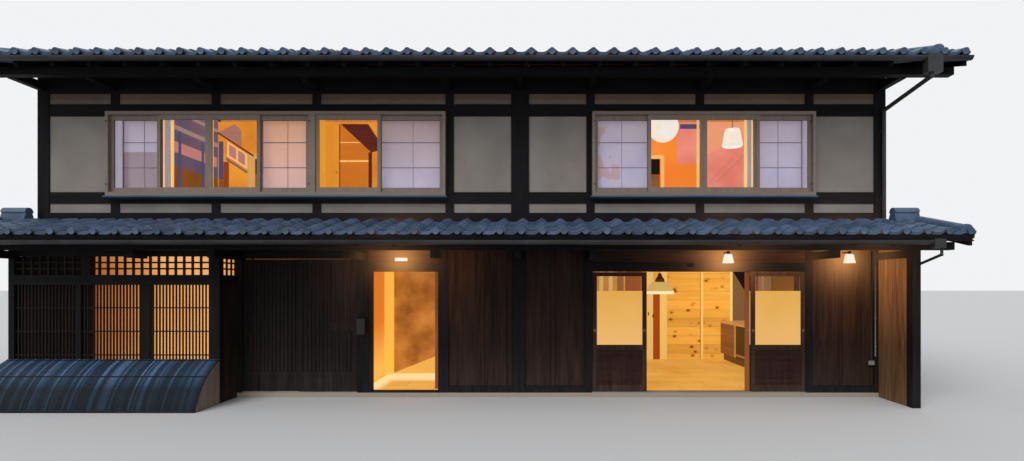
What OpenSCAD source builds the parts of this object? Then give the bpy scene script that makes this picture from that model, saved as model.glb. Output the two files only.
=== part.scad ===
// Two-storey timber townhouse with tiled roofs, at real size in millimetres.
// X runs along the street, Y into the house and Z up.
// The origin lies on the centre line of the street wall, at ground level.

/* [Street wall grid] */
// Bay at the left end, post centre to stud centre
left_end_bay = 1000; // [800:10:1300]
// Each of the two bays of the four-sash window on the left
left_window_bay = 1410; // [1200:10:1700]
// Bay of the two-sash window on the left
pair_window_bay = 1860; // [1500:10:2200]
// Each of the two plaster bays beside the centre post
centre_bay = 985; // [800:5:1300]
// Each of the two bays of the window on the right
right_window_bay = 1530; // [1300:10:1800]
// Bay at the right end, stud centre to post centre
right_end_bay = 985; // [800:5:1300]
// Width of the corner posts
corner_post_w = 160; // [120:5:200]
// Width of the upper centre post
centre_post_w = 250; // [160:5:300]
// Width of the upper studs
stud_w = 115; // [90:5:140]
// Thickness of the outer walls, and of their posts
wall_t = 120; // [100:5:160]
// Depth of the house, street face to rear face
house_d = 6000; // [5000:50:7000]

/* [Ground storey] */
// Thickness of the ground floor slab
slab_h = 60; // [40:5:100]
// Height of the sill beams
sill_h = 94; // [70:2:130]
// Head of the entry and of the shop doorway, above the ground
head_z = 1753; // [1650:1:1850]
// Head of the lattice doors, above the ground
lattice_head_z = 1935; // [1800:5:1980]
// Height of the lintel beams
lintel_h = 120; // [80:5:180]
// Width of the lattice bay, from the left corner
bay_w = 2790; // [2600:10:2900]
// Width of wall post that shows beside the lattice bay
door_post_show = 68; // [50:2:120]
// Width of the lattice doorway
lattice_open_w = 1614; // [1500:2:1800]
// Width of the post between the lattice doors and the entry
mid_post_w = 146; // [110:2:180]
// Width of the narrow jamb on the left of the entry
entry_jamb_w = 50; // [40:2:70]
// Width of the entry opening
entry_open_w = 930; // [800:5:1000]
// Width of the post on the right of the entry
entry_post_w = 140; // [110:2:160]
// Width of the board wall on the left of the centre post
board_a_w = 902; // [860:2:960]
// Width of the ground centre post
ground_centre_w = 175; // [120:5:220]
// Width of the board wall on the right of the centre post
board_b_w = 827; // [700:1:900]
// Width of the post on the left of the shop doorway
shop_post_w = 112; // [90:2:140]
// Width of the shop doorway
shop_open_w = 2985; // [2800:5:3100]
// Width of the post on the right of the shop doorway
shop_end_post_w = 103; // [90:1:140]
// Thickness of the board walls
board_t = 40; // [30:2:60]
// Setback of the board walls from the street face
board_set = 30; // [15:1:50]

/* [Upper storey] */
// Underside of the floor beam, above the ground
beam_z = 2290; // [2250:5:2400]
// Height of the floor beam
beam_h = 285; // [240:5:320]
// Height of the low plaster panels
low_panel_h = 130; // [90:5:180]
// Height of the rail below the windows
sill_rail_h = 160; // [120:5:200]
// Height of the window openings
window_h = 1060; // [900:10:1200]
// Height of the rail above the windows
head_rail_h = 170; // [120:5:200]
// Height of the top plaster panels
top_panel_h = 145; // [100:5:180]
// Height of the wall plate, at the street face
plate_h = 348; // [300:2:400]
// Thickness of the upper floor
floor_h = 100; // [60:5:140]
// Thickness of the plaster panels
plaster_t = 70; // [50:5:80]
// Setback of the plaster panels from the wall face
plaster_set = 20; // [10:1:40]
// Setback of the rails from the wall face
rail_set = 6; // [0:1:15]

/* [Windows] */
// Depth of the window frames, in front of the wall
frame_d = 90; // [80:1:120]
// Width of the window frames' upright bars
frame_side = 40; // [30:1:60]
// Height of the frames' head bar
frame_head = 45; // [30:1:60]
// Height of the frames' sill bar
frame_sill = 50; // [35:1:70]
// Width of the sashes' upright bars
sash_stile = 45; // [35:1:60]
// Height of the sashes' top and bottom bars
sash_rail = 65; // [50:1:80]
// Thickness of the sashes
sash_t = 28; // [22:1:32]
// Thickness of the glass
glass_t = 5; // [3:1:8]
// How far the left frame reaches past its opening, over the end stud
left_lap = 130; // [10:5:140]
// How far the right frame reaches past its opening, over the end stud
right_lap = 108; // [10:2:120]
// Thickness of the paper screens' bars
screen_t = 24; // [18:1:30]

/* [Lattice bay] */
// How far the lattice bay stands in front of the wall
bay_d = 450; // [350:10:550]
// Underside of the bay's middle beam, above the ground
bay_beam_z = 1566; // [1450:2:1650]
// Height of the bay's middle beam
bay_beam_h = 134; // [100:2:160]
// Underside of the bay's top beam, above the ground
bay_top_z = 1945; // [1900:5:2000]
// Sill height of the bay's lattice, above the ground
bay_sill_z = 450; // [380:5:520]
// Distance between the bars of the bay's lattice
bar_pitch = 44.5; // [40:0.5:60]
// Width of the bay lattice's bars
bay_bar_w = 16; // [12:1:22]
// Depth of the bay lattice's bars
bay_bar_d = 18; // [12:1:30]
// Width of the bars of transoms and lattice doors
bar_w = 22; // [16:1:26]
// Depth of the transoms' bars
bar_d = 30; // [20:1:40]
// Distance between the uprights of the bay's transom
cell_pitch = 117; // [90:1:140]
// Reach of the bamboo skirt in front of the bay
skirt_d = 560; // [400:10:700]
// Height of the bamboo skirt
skirt_h = 580; // [450:10:640]
// How far the bamboo skirt bulges past a straight slope
skirt_bulge = 100; // [40:5:160]

/* [Doors] */
// Thickness of the sliding doors
leaf_t = 32; // [28:1:36]
// Running gap between sliding doors, and beside them
leaf_gap = 6; // [5:1:8]
// How far neighbouring doors overlap when they are closed
leaf_lap = 28; // [20:1:40]
// Height of the door tracks
track_h = 18; // [12:1:24]
// Gap between a door and the rail that carries it
rail_gap = 0.4; // [0.3:0.1:0.6]
// How far the right middle shop door stands in front of its end stop
door_peek = 70; // [40:5:120]

/* [Roofs] */
// Rise of the upper roof for each unit of run
main_slope = 0.33; // [0.3:0.01:0.36]
// Reach of the upper eave in front of the wall
main_eave = 840; // [700:10:1000]
// Rise of the lower roof for each unit of run
pent_slope = 0.24; // [0.2:0.01:0.28]
// Reach of the lower eave in front of the wall
pent_eave = 1040; // [950:10:1150]
// How far the upper roof reaches past each end of the house
main_over = 530; // [400:10:600]
// How far the lower roof reaches past each end of the house
pent_over = 450; // [350:10:550]
// Height of the rafters
rafter_h = 60; // [45:5:80]
// Width of the rafters
rafter_w = 50; // [40:5:60]
// Distance between the rafters
rafter_pitch = 455; // [300:5:500]
// Thickness of the roof boards
deck_t = 15; // [12:1:20]
// Height of the tile layer
tile_h = 80; // [60:5:100]
// Distance between the rolls of neighbouring tiles
tile_pitch = 260; // [240:5:280]
// Distance from the wall to the middle of the upper eave purlin
main_purlin_at = 560; // [450:10:620]
// Distance from the wall to the middle of the lower eave purlin
pent_purlin_at = 680; // [640:10:760]
// Width of the eave purlins
purlin_w = 120; // [90:5:140]
// Height of the eave purlins
purlin_h = 100; // [80:5:130]
// Width of the arms that carry the purlins
arm_w = 90; // [70:5:110]
// Radius of the gutters
gutter_r = 50; // [40:1:60]
// Radius of the upper downpipe
pipe_r = 28; // [22:1:36]
// Radius of the thin downpipe at the end wall
thin_pipe_r = 17; // [12:1:24]
// Radius of the round tile rows along the verges
roll_r = 70; // [50:5:90]
// Distance from the upper roof's end to the middle of its verge row
main_roll_in = 385; // [200:5:450]
// Distance from the lower roof's end to the middle of its verge row
pent_roll_in = 95; // [80:5:200]

/* [Fittings] */
// Radius of the bracket lamps' shades
lamp_r = 78; // [60:1:95]
// Radius of the shop pendant
pendant_r = 225; // [180:5:260]
// Radius of the upper dome pendant
dome_r = 200; // [150:5:220]
// Radius of the upper drum pendant
drum_r = 168; // [130:1:200]
// Depth from the street face to the shop's back wall
pine_at = 3650; // [3000:50:4200]
// Depth from the street face to the entry's back wall
entry_back_at = 1770; // [1500:10:2000]
// Height of the counter, above the ground
counter_z = 845; // [780:5:920]
// Width of the counter
counter_w = 640; // [560:10:750]
// Length of the counter, from the shop's back wall
counter_l = 1700; // [1400:10:1900]
// Distance from the right wall to the counter's outer side
counter_reach = 1045; // [900:5:1100]
// Length of the shop's back wall, from the right wall
shop_wall_w = 3570; // [3400:10:3700]
// Depth from the street face to the back wall of the upper rooms
upper_back_at = 4400; // [3800:50:4600]

/* [Hidden] */

// Grid of the street wall, from left to right
bays = [left_end_bay, left_window_bay, left_window_bay, pair_window_bay, centre_bay,
    centre_bay, right_window_bay, right_window_bay, right_end_bay];
function run(list, count) = count == 0 ? 0 : list[count - 1] + run(list, count - 1);
house_w = run(bays, len(bays)) + corner_post_w;
left_x = -house_w / 2;
right_x = house_w / 2;
function grid_x(i) = left_x + corner_post_w / 2 + run(bays, i);
first_stud = 1;
mullion_stud = 3;
pair_stud = 4;
centre_stud = 5;
shop_stud = 6;
last_stud = 8;
last_post = 9;
function post_w(i) = i == centre_stud ? centre_post_w : (i == 0 || i == last_post) ? corner_post_w : stud_w;
function left_face(i) = grid_x(i) - post_w(i) / 2;
function right_face(i) = grid_x(i) + post_w(i) / 2;

// Planes across the house
front_y = -wall_t / 2;
wall_back_y = wall_t / 2;
rear_y = front_y + house_d;
rear_in_y = rear_y - wall_t;
ridge_y = (front_y + rear_y) / 2;
function out(d) = front_y - d;

// Ground storey, from left to right
bay_right = left_x + bay_w;
lattice_left = bay_right + door_post_show;
lattice_right = lattice_left + lattice_open_w;
mid_post_right = lattice_right + mid_post_w;
entry_left = mid_post_right + entry_jamb_w;
entry_right = entry_left + entry_open_w;
board_a_left = entry_right + entry_post_w;
board_a_right = board_a_left + board_a_w;
board_b_left = board_a_right + ground_centre_w;
board_b_right = board_b_left + board_b_w;
shop_left = board_b_right + shop_post_w;
shop_right = shop_left + shop_open_w;
board_c_left = shop_right + shop_end_post_w;
board_c_right = right_x - corner_post_w;
door_post_w = 140;
sill_top = slab_h + sill_h;

// Upper storey, from the floor beam up
low_panel_z = beam_z + beam_h;
sill_rail_z = low_panel_z + low_panel_h;
window_z = sill_rail_z + sill_rail_h;
head_rail_z = window_z + window_h;
top_panel_z = head_rail_z + head_rail_h;
plate_z = top_panel_z + top_panel_h;
floor_z = beam_z + 110;

// Undersides of the rafters at a distance in front of the wall, and tops of the tile layers
function main_under(d) = plate_z + plate_h - main_slope * d;
function pent_under(d) = beam_z - pent_slope * d;
roof_build = rafter_h + deck_t + tile_h;
function main_top(d) = main_under(d) + roof_build;
function pent_top(d) = pent_under(d) + roof_build;
main_half_w = house_w / 2 + main_over;
pent_half_w = house_w / 2 + pent_over;
ridge_d = front_y - ridge_y;
ridge_gap = 30;

// Doors
leaf_z = slab_h + track_h + rail_gap;
leaf_head_gap = 8;
rail_h = 6;
rail_w = 8;
front_track = leaf_t / 2 + leaf_gap;
rear_track = front_track + leaf_t + leaf_gap;
shop_leaf_w = (shop_open_w / 2 + leaf_lap) / 2;
lattice_leaf_w = (lattice_open_w + leaf_lap) / 2;
entry_leaf_w = entry_open_w + 2 * leaf_lap;

module block(x, y, z) {
    translate([x[0], y[0], z[0]])
        cube([x[1] - x[0], y[1] - y[0], z[1] - z[0]]);
}

// A profile drawn in (Y, Z) and drawn out along X
module along_x(x, points) {
    translate([x[0], 0, 0])
        rotate([90, 0, 90])
            linear_extrude(height = x[1] - x[0])
                polygon(points);
}

// Points on an arc in (Y, Z)
function arc(y, z, r, a, b, steps) = [for (i = [0:steps])
    [y + r * cos(a + (b - a) * i / steps), z + r * sin(a + (b - a) * i / steps)]];

// A rectangular ring in the wall's plane
module ring(x, y, z, side, foot, head) {
    difference() {
        block(x, y, z);
        block([x[0] + side, x[1] - side], [y[0] - 1, y[1] + 1], [z[0] + foot, z[1] - head]);
    }
}

module ground_floor() {
    color("#8d867c")
        block([left_x, right_x], [front_y, rear_y], [0, slab_h]);
}

board_wall_x = [[board_a_left, board_a_right], [board_b_left, board_b_right], [board_c_left, board_c_right]];

module sill_beams() {
    color("#2b2320")
        for (x = board_wall_x)
            block(x, [front_y + rail_set, wall_back_y], [slab_h, sill_top]);
}

module ground_posts() {
    post_x = [[lattice_left - door_post_w, lattice_left], [lattice_right, mid_post_right],
        [entry_right, board_a_left], [board_a_right, board_b_left],
        [board_b_right, shop_left], [shop_right, board_c_left]];
    color("#241d1a")
        for (x = post_x)
            block(x, [front_y, wall_back_y], [slab_h, beam_z]);
}

module corner_posts() {
    color("#241d1a")
        for (x = [left_x, right_x - corner_post_w])
            for (y = [front_y, rear_in_y])
                block([x, x + corner_post_w], [y, y + wall_t], [slab_h, plate_z]);
}

module lintels() {
    color("#241d1a") {
        block([lattice_left, lattice_right], [front_y + rail_set, wall_back_y],
            [lattice_head_z, lattice_head_z + lintel_h]);
        block([mid_post_right, entry_right], [front_y + rail_set, wall_back_y], [head_z, head_z + lintel_h]);
        block([shop_left, shop_right], [front_y + rail_set, wall_back_y], [head_z, head_z + lintel_h]);
    }
}

module header_boards() {
    board_y = [front_y + board_set, front_y + board_set + board_t];
    color("#3a2d24") {
        block([lattice_left, lattice_right], board_y, [lattice_head_z + lintel_h, beam_z]);
        block([mid_post_right, entry_right], board_y, [head_z + lintel_h, beam_z]);
        block([shop_left, shop_right], board_y, [head_z + lintel_h, beam_z]);
    }
}

// Upright battens on the board walls, as shares of each wall's width
batten_at = 0.53;
batten_w = 55;
batten_t = 12;

module board_walls() {
    board_y = [front_y + board_set, front_y + board_set + board_t];
    color("#2c2420") {
        for (x = board_wall_x)
            block(x, board_y, [sill_top, beam_z]);
        for (x = [board_a_left + batten_at * board_a_w, board_b_right - batten_at * board_b_w])
            block([x - batten_w / 2, x + batten_w / 2], [board_y[0] - batten_t, board_y[0] + 1],
                [sill_top, beam_z]);
    }
}

module entry_jamb() {
    color("#3a2a1e") {
        block([mid_post_right, entry_left], [front_y + rail_set, wall_back_y], [slab_h, head_z]);
        block([entry_left, entry_right], [front_y + rail_set, wall_back_y], [slab_h, slab_h + track_h]);
    }
}

// The rails and grooves of the sliding doors; y_at is the middle of a track
module track(x, y_at) {
    block(x, [y_at - rail_w / 2, y_at + rail_w / 2], [slab_h + track_h - rail_h, slab_h + track_h]);
}

module door_tracks() {
    color("#55504a") {
        for (x = [[lattice_left, lattice_right], [shop_left, shop_right]]) {
            block(x, [front_y, wall_back_y], [slab_h, slab_h + track_h - rail_h]);
            track(x, front_y + front_track);
            track(x, front_y + rear_track);
        }
        entry_track_x = [entry_left - leaf_lap, entry_right + entry_leaf_w + leaf_gap];
        block(entry_track_x, [wall_back_y + leaf_gap / 2, wall_back_y + 2 * leaf_gap + leaf_t],
            [slab_h, slab_h + track_h - rail_h]);
        track(entry_track_x, wall_back_y + leaf_gap + leaf_t / 2);
    }
}

head_track_h = 60;

module head_tracks() {
    color("#2b2320")
        block([entry_left - entry_jamb_w, entry_right + entry_leaf_w + leaf_gap],
            [wall_back_y, wall_back_y + 2 * leaf_gap + leaf_t],
            [head_z + leaf_head_gap, head_z + head_track_h]);
}

end_wall_t = 100;
end_post_w = 105;
end_x = [right_x - end_wall_t, right_x];

module end_wall() {
    color("#4a3324")
        along_x(end_x, [[out(0), 0], [out(0), pent_under(0)], [out(pent_purlin_at - purlin_w / 2),
            pent_under(pent_purlin_at - purlin_w / 2)], [out(pent_purlin_at - purlin_w / 2), 0]]);
}

module end_post() {
    color("#241d1a")
        block([right_x - end_post_w, right_x],
            [out(pent_purlin_at + purlin_w / 2), out(pent_purlin_at - purlin_w / 2)],
            [0, pent_under(pent_purlin_at + purlin_w / 2) - purlin_h]);
}

// Lattice bay, measured from its right face
bay_corner_w = 145;
bay_panel_right = 785;
bay_mid_post = 132;
bay_panel_mid = 650;
bay_narrow = 120;
bay_thin_post = 70;
bay_left_post = 78;
bay_x1 = bay_right - bay_corner_w;
bay_x2 = bay_x1 - bay_panel_right;
bay_x3 = bay_x2 - bay_mid_post;
bay_x4 = bay_x3 - bay_panel_mid;
bay_x5 = bay_x4 - bay_narrow;
bay_x6 = bay_x5 - bay_thin_post;
bay_x7 = left_x + bay_left_post;
bay_post_d = 100;
return_x = [bay_right - board_t, bay_right];
bay_y = [out(bay_d), out(bay_d - bay_post_d)];

module bay_frame() {
    color("#241d1a") {
        for (x = [[left_x, bay_x7], [bay_x1, bay_right]])
            block(x, bay_y, [0, bay_beam_z]);
        block([bay_x3, bay_x2], bay_y, [bay_sill_z, bay_beam_z]);
        block([bay_x6, bay_x5], bay_y, [bay_sill_z, bay_beam_z]);
        block([left_x, bay_right], bay_y, [bay_beam_z, bay_beam_z + bay_beam_h]);
        for (x = [[left_x, bay_x7], [bay_x5, bay_x4], [bay_x1, bay_right]])
            block(x, bay_y, [bay_beam_z + bay_beam_h, bay_top_z]);
        along_x([left_x, bay_right], [[bay_y[0], bay_top_z], [bay_y[1], bay_top_z],
            [bay_y[1], pent_under(bay_d)], [bay_y[0], pent_under(bay_d)]]);
        block(return_x, [bay_y[1], out(0)], [bay_beam_z, bay_beam_z + bay_beam_h]);
        block(return_x, [bay_y[1], out(0)], [bay_top_z, pent_under(bay_d)]);
    }
}

module bay_base() {
    color("#2c2420")
        block([bay_x7, bay_x1], [bay_y[0] + board_set, bay_y[1]], [0, bay_sill_z]);
}

// Upright bars with rails between two posts
bar_set = 10;

module lattice(x, z, pitch, rails, w, d) {
    count = floor((x[1] - x[0] - w) / pitch);
    step = (x[1] - x[0]) / (count + 1);
    y = [bay_y[0] + bar_set, bay_y[0] + bar_set + d];
    for (i = [1:count])
        block([x[0] + i * step - w / 2, x[0] + i * step + w / 2], y, z);
    for (rail_z = rails)
        block(x, [y[0] + d / 3, y[1]], [rail_z - w / 2, rail_z + w / 2]);
}

module bay_lattice(x) {
    lattice(x, lattice_z, bar_pitch, lattice_rails, bay_bar_w, bay_bar_d);
}

lattice_z = [bay_sill_z, bay_beam_z];
// Heights of the lattice's three rails, as shares of its height
lattice_rails = [for (share = [0.17, 0.45, 0.73]) bay_sill_z + share * (bay_beam_z - bay_sill_z)];

module bay_lattice_left() {
    color("#1f1a18") {
        bay_lattice([bay_x7, bay_x6]);
        bay_lattice([bay_x5, bay_x4]);
    }
}

module bay_lattice_middle() {
    color("#1f1a18")
        bay_lattice([bay_x4, bay_x3]);
}

module bay_lattice_right() {
    color("#1f1a18")
        bay_lattice([bay_x2, bay_x1]);
}

transom_z = [bay_beam_z + bay_beam_h, bay_top_z];
transom_rails = [for (i = [1:2]) transom_z[0] + i * (transom_z[1] - transom_z[0]) / 3];

// The same bars in the bay's right return, between its front post and the wall
module return_lattice(y, z, rails) {
    count = round((y[1] - y[0]) / cell_pitch) - 1;
    step = (y[1] - y[0]) / (count + 1);
    x = [bay_right - board_t / 2 - bar_d / 3, bay_right - board_t / 2 + bar_d / 3];
    for (i = [1:count])
        block(x, [y[0] + i * step - bar_w / 2, y[0] + i * step + bar_w / 2], z);
    for (rail_z = rails)
        block([x[0] + bar_d / 3, x[1]], y, [rail_z - bar_w / 2, rail_z + bar_w / 2]);
}

module bay_transom() {
    color("#1f1a18") {
        lattice([bay_x7, bay_x5], transom_z, cell_pitch, transom_rails, bar_w, bar_d);
        lattice([bay_x4, bay_x1], transom_z, cell_pitch, transom_rails, bar_w, bar_d);
        return_lattice([bay_y[1], out(0)], transom_z, transom_rails);
    }
}

module bay_return() {
    color("#2c2420") {
        block(return_x, [bay_y[1], out(0)], [0, bay_beam_z]);
        block([left_x, left_x + board_t], [bay_y[1], out(0)], [0, bay_top_z]);
    }
}

paper_gap = 0.3;
paper_t = 4;

module bay_screen() {
    paper_y = [bay_y[1] + paper_gap, bay_y[1] + paper_gap + paper_t];
    color("#ffd58a") {
        block([bay_x4, bay_x1], paper_y, lattice_z);
        block([bay_x4, bay_x1], paper_y, transom_z);
        block([return_x[0] - paper_gap - paper_t, return_x[0] - paper_gap],
            [bay_y[1] + paper_gap + paper_t, out(paper_t)], transom_z);
    }
}

// Arc of the bamboo skirt: out from the bay's face, down to the ground
skirt_t = 20;
skirt_end_t = 30;
skirt_steps = 8;
skirt_chord = norm([skirt_d, skirt_h]);
skirt_arc_r = (skirt_chord * skirt_chord / 4 + skirt_bulge * skirt_bulge) / (2 * skirt_bulge);
skirt_tilt = atan2(skirt_h, skirt_d);
skirt_half = asin(skirt_chord / 2 / skirt_arc_r);
skirt_mid = [skirt_d / 2, skirt_h / 2] + (skirt_bulge - skirt_arc_r) * [sin(skirt_tilt), cos(skirt_tilt)];
function skirt_point(i, inset) =
    let (a = 90 - skirt_tilt + skirt_half - 2 * skirt_half * i / skirt_steps, r = skirt_arc_r - inset)
    [out(bay_d + max(0, skirt_mid[0] + r * cos(a))), max(0, skirt_mid[1] + r * sin(a))];

module bamboo_skirt() {
    outer = [for (i = [0:skirt_steps]) skirt_point(i, 0)];
    inner = [for (i = [skirt_steps:-1:0]) skirt_point(i, skirt_t)];
    color("#8a8378")
        along_x([left_x, bay_right], concat(outer, inner));
}

module skirt_ends() {
    rib = [for (i = [0:skirt_steps]) skirt_point(i, skirt_t)];
    color("#7a6a5c")
        for (x = [left_x, bay_right - skirt_end_t])
            along_x([x, x + skirt_end_t], concat([[out(bay_d), 0]], rib));
}

module party_walls() {
    color("#2a2420")
        for (x = [left_x, right_x - wall_t])
            along_x([x, x + wall_t], [[wall_back_y, slab_h], [rear_in_y, slab_h],
                [rear_in_y, main_under(front_y - wall_back_y)],
                [ridge_y, main_under(ridge_d)],
                [wall_back_y, main_under(front_y - wall_back_y)]]);
}

module floor_beam() {
    color("#241d1a")
        block([left_x + corner_post_w, right_x - corner_post_w], [front_y, wall_back_y],
            [beam_z, low_panel_z]);
}

module upper_floor() {
    color("#7a5c3c")
        block([left_x + wall_t, right_x - wall_t], [wall_back_y, rear_in_y], [floor_z, floor_z + floor_h]);
}

module upper_rails() {
    y = [front_y + rail_set, wall_back_y];
    color("#241d1a")
        for (x = [[left_x + corner_post_w, left_face(centre_stud)],
                [right_face(centre_stud), right_x - corner_post_w]])
            for (z = [[sill_rail_z, window_z], [head_rail_z, top_panel_z]])
                block(x, y, z);
}

module upper_studs() {
    y = [front_y, wall_back_y];
    color("#241d1a") {
        block([left_face(centre_stud), right_face(centre_stud)], y, [low_panel_z, plate_z]);
        for (i = [first_stud:last_stud])
            if (i != centre_stud) {
                block([left_face(i), right_face(i)], y, [low_panel_z, sill_rail_z]);
                block([left_face(i), right_face(i)], y, [top_panel_z, plate_z]);
            }
        for (i = [first_stud, mullion_stud, pair_stud, shop_stud, last_stud])
            block([left_face(i), right_face(i)], y, [window_z, head_rail_z]);
    }
}

module plaster_panels() {
    y = [front_y + plaster_set, front_y + plaster_set + plaster_t];
    color("#d9cdb0")
        for (i = [0:last_post - 1]) {
            x = [right_face(i), left_face(i + 1)];
            block(x, y, [low_panel_z, sill_rail_z]);
            block(x, y, [top_panel_z, plate_z]);
            if (i == 0 || i == pair_stud || i == centre_stud || i == last_stud)
                block(x, y, [window_z, head_rail_z]);
        }
    color("#cf8f5c")
        inner_walls();
}

// Walls of the upper rooms: one between the two rooms, and the back wall with its doorways
inner_wall_t = 90;
inner_door_w = 760;
inner_door_h = 1800;
under_gap = 4;
back_wall_y = [out(-upper_back_at), out(-upper_back_at - inner_wall_t)];
partition_x = [grid_x(centre_stud) - inner_wall_t / 2, grid_x(centre_stud) + inner_wall_t / 2];
left_room_door_x = left_x + wall_t + inner_door_w;
right_room_door_x = grid_x(shop_stud) + 1175;

module inner_walls() {
    z = floor_z + floor_h;
    ridge_top = main_under(ridge_d) - under_gap;
    front_top = main_under(front_y - wall_back_y) - under_gap;
    back_top = main_under(back_wall_y[1] - rear_y) - under_gap;
    along_x(partition_x, [[wall_back_y, z], [back_wall_y[0], z],
        [back_wall_y[0], main_under(back_wall_y[0] - rear_y) - under_gap],
        [ridge_y, ridge_top], [wall_back_y, front_top]]);
    difference() {
        block([left_x + wall_t, right_x - wall_t], back_wall_y, [z, back_top]);
        for (x = [left_room_door_x, right_room_door_x])
            block([x, x + inner_door_w], [back_wall_y[0] - 1, back_wall_y[1] + 1], [z - 1, z + inner_door_h]);
    }
}

module wall_plates() {
    color("#241d1a") {
        along_x([left_x, right_x], [[front_y, plate_z], [wall_back_y, plate_z],
            [wall_back_y, main_under(front_y - wall_back_y)], [front_y, main_under(0)]]);
        along_x([left_x, right_x], [[rear_y, plate_z], [rear_in_y, plate_z],
            [rear_in_y, main_under(front_y - wall_back_y)], [rear_y, main_under(0)]]);
    }
}

// Windows stand in front of the wall
frame_drop = 60;
frame_rise = 45;
left_inner_lap = 10;
right_inner_lap = 40;
pair_mullion_w = 100;
pair_mullion_off = 37;
frame_z = [window_z - frame_drop, head_rail_z + frame_rise];
frame_y = [out(frame_d), out(0)];
left_frame = [right_face(first_stud) - left_lap, left_face(pair_stud) + left_inner_lap];
pair_mullion_x = grid_x(mullion_stud) - pair_mullion_off;
pair_mullion = [pair_mullion_x - pair_mullion_w / 2, pair_mullion_x + pair_mullion_w / 2];
right_frame = [right_face(shop_stud) - right_inner_lap, left_face(last_stud) + right_lap];

sash_z = [frame_z[0] + frame_sill, frame_z[1] - frame_head];
unit_a = [left_frame[0] + frame_side, pair_mullion[0]];
unit_b = [pair_mullion[1], left_frame[1] - frame_side];
unit_c = [right_frame[0] + frame_side, right_frame[1] - frame_side];

// The rear wall repeats the street wall in four plain bays
rear_bay = (house_w - 2 * corner_post_w - 3 * stud_w) / 4;
function rear_left(i) = left_x + corner_post_w + i * (rear_bay + stud_w);
rear_face = [rear_in_y, rear_y];
track_gap = 8;
rear_frame_y = [rear_y - plaster_set - 2 * sash_t - 3 * track_gap, rear_y - plaster_set];
function rear_unit(i) = [rear_left(i) + frame_side, rear_left(i) + rear_bay - frame_side];

module window_frames() {
    color("#c9a878") {
        difference() {
            block(left_frame, frame_y, frame_z);
            for (x = [unit_a, unit_b])
                block(x, [frame_y[0] - 1, frame_y[1] + 1], sash_z);
        }
        ring(right_frame, frame_y, frame_z, frame_side, frame_sill, frame_head);
    }
}

function quad_w(unit) = ((unit[1] - unit[0]) / 2 + sash_stile) / 2;
function quad_x(unit, i) = [unit[0], unit[0] + quad_w(unit) - sash_stile,
    (unit[0] + unit[1]) / 2, unit[1] - quad_w(unit)][i];
function pair_w(unit) = (unit[1] - unit[0] + sash_stile) / 2;
function quad_y(i) = (i == 0 || i == 3) ? out(track_gap + sash_t) : out(2 * (sash_t + track_gap));
function quads() = [for (unit = [unit_a, unit_c]) for (i = [0:3])
    [quad_x(unit, i), quad_w(unit), quad_y(i), sash_z]];
function pair(unit, first_y, second_y, z) = [[unit[0], pair_w(unit), first_y, z],
    [unit[1] - pair_w(unit), pair_w(unit), second_y, z]];
rear_sash_z = [window_z + frame_sill, head_rail_z - frame_head];
rear_track_y = [for (i = [0:1]) rear_frame_y[0] + track_gap + i * (sash_t + track_gap)];

// Each sash as its left edge, width, near face and [foot, head]
sashes = concat(quads(), pair(unit_b, quad_y(1), quad_y(0), sash_z),
    [for (i = [1:2]) each pair(rear_unit(i), rear_track_y[0], rear_track_y[1], rear_sash_z)]);
sash_clear = 0.5;

module window_sashes() {
    color("#c9a878")
        for (s = sashes)
            ring([s[0] + sash_clear, s[0] + s[1] - sash_clear], [s[2], s[2] + sash_t],
                [s[3][0], s[3][1] - sash_clear], sash_stile, sash_rail, sash_rail);
}

module window_glass() {
    color("#bcd3e0")
        for (s = sashes)
            block([s[0] + sash_clear + sash_stile, s[0] + s[1] - sash_clear - sash_stile],
                [s[2] + sash_t / 2 - glass_t / 2, s[2] + sash_t / 2 + glass_t / 2],
                [s[3][0] + sash_rail, s[3][1] - sash_clear - sash_rail]);
}

// Paper screens inside the window openings
screen_bar = 24;
screen_sheet_t = 2;

module screen(x) {
    y = screen_t / 4;
    z = [window_z, head_rail_z];
    ring(x, [0, screen_t], z, screen_bar, screen_bar * 2, screen_bar * 2);
    block([(x[0] + x[1] - y) / 2, (x[0] + x[1] + y) / 2], [y, 2 * y], [z[0] + screen_bar, z[1] - screen_bar]);
    for (i = [1:2])
        block([x[0] + screen_bar / 2, x[1] - screen_bar / 2], [y, 2 * y],
            [z[0] + i * window_h / 3 - y, z[0] + i * window_h / 3 + y]);
    block([x[0] + screen_bar, x[1] - screen_bar], [2 * y, 2 * y + screen_sheet_t],
        [z[0] + screen_bar, z[1] - screen_bar]);
}

module paper_screens() {
    color("#e6dcd4") {
        screen([right_face(first_stud), unit_a[0] + quad_w(unit_a)]);
        screen([unit_a[1] - quad_w(unit_a), left_face(mullion_stud)]);
        screen([unit_b[1] - pair_w(unit_b), left_face(pair_stud)]);
        screen([right_face(shop_stud), unit_c[0] + quad_w(unit_c)]);
        screen([unit_c[1] - quad_w(unit_c), left_face(last_stud)]);
    }
}

flashing_over = 20;
flashing_h = 40;
flashing_fall = 12;

module sill_flashing() {
    color("#7f8ea0")
        for (x = [left_frame, right_frame])
            along_x([x[0] - flashing_over, x[1] + flashing_over], [[out(0), frame_z[0] - flashing_h],
                [out(0), frame_z[0]], [out(frame_d), frame_z[0]],
                [out(frame_d + flashing_over), frame_z[0] - flashing_fall],
                [out(frame_d + flashing_over), frame_z[0] - 2 * flashing_fall]]);
}

module rear_posts() {
    color("#241d1a")
        for (i = [1:3])
            block([rear_left(i) - stud_w, rear_left(i)], rear_face, [slab_h, plate_z]);
}

module rear_boards() {
    color("#2c2420")
        for (i = [0:3])
            block([rear_left(i), rear_left(i) + rear_bay],
                [rear_y - board_set - board_t, rear_y - board_set], [slab_h, beam_z]);
}

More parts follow.
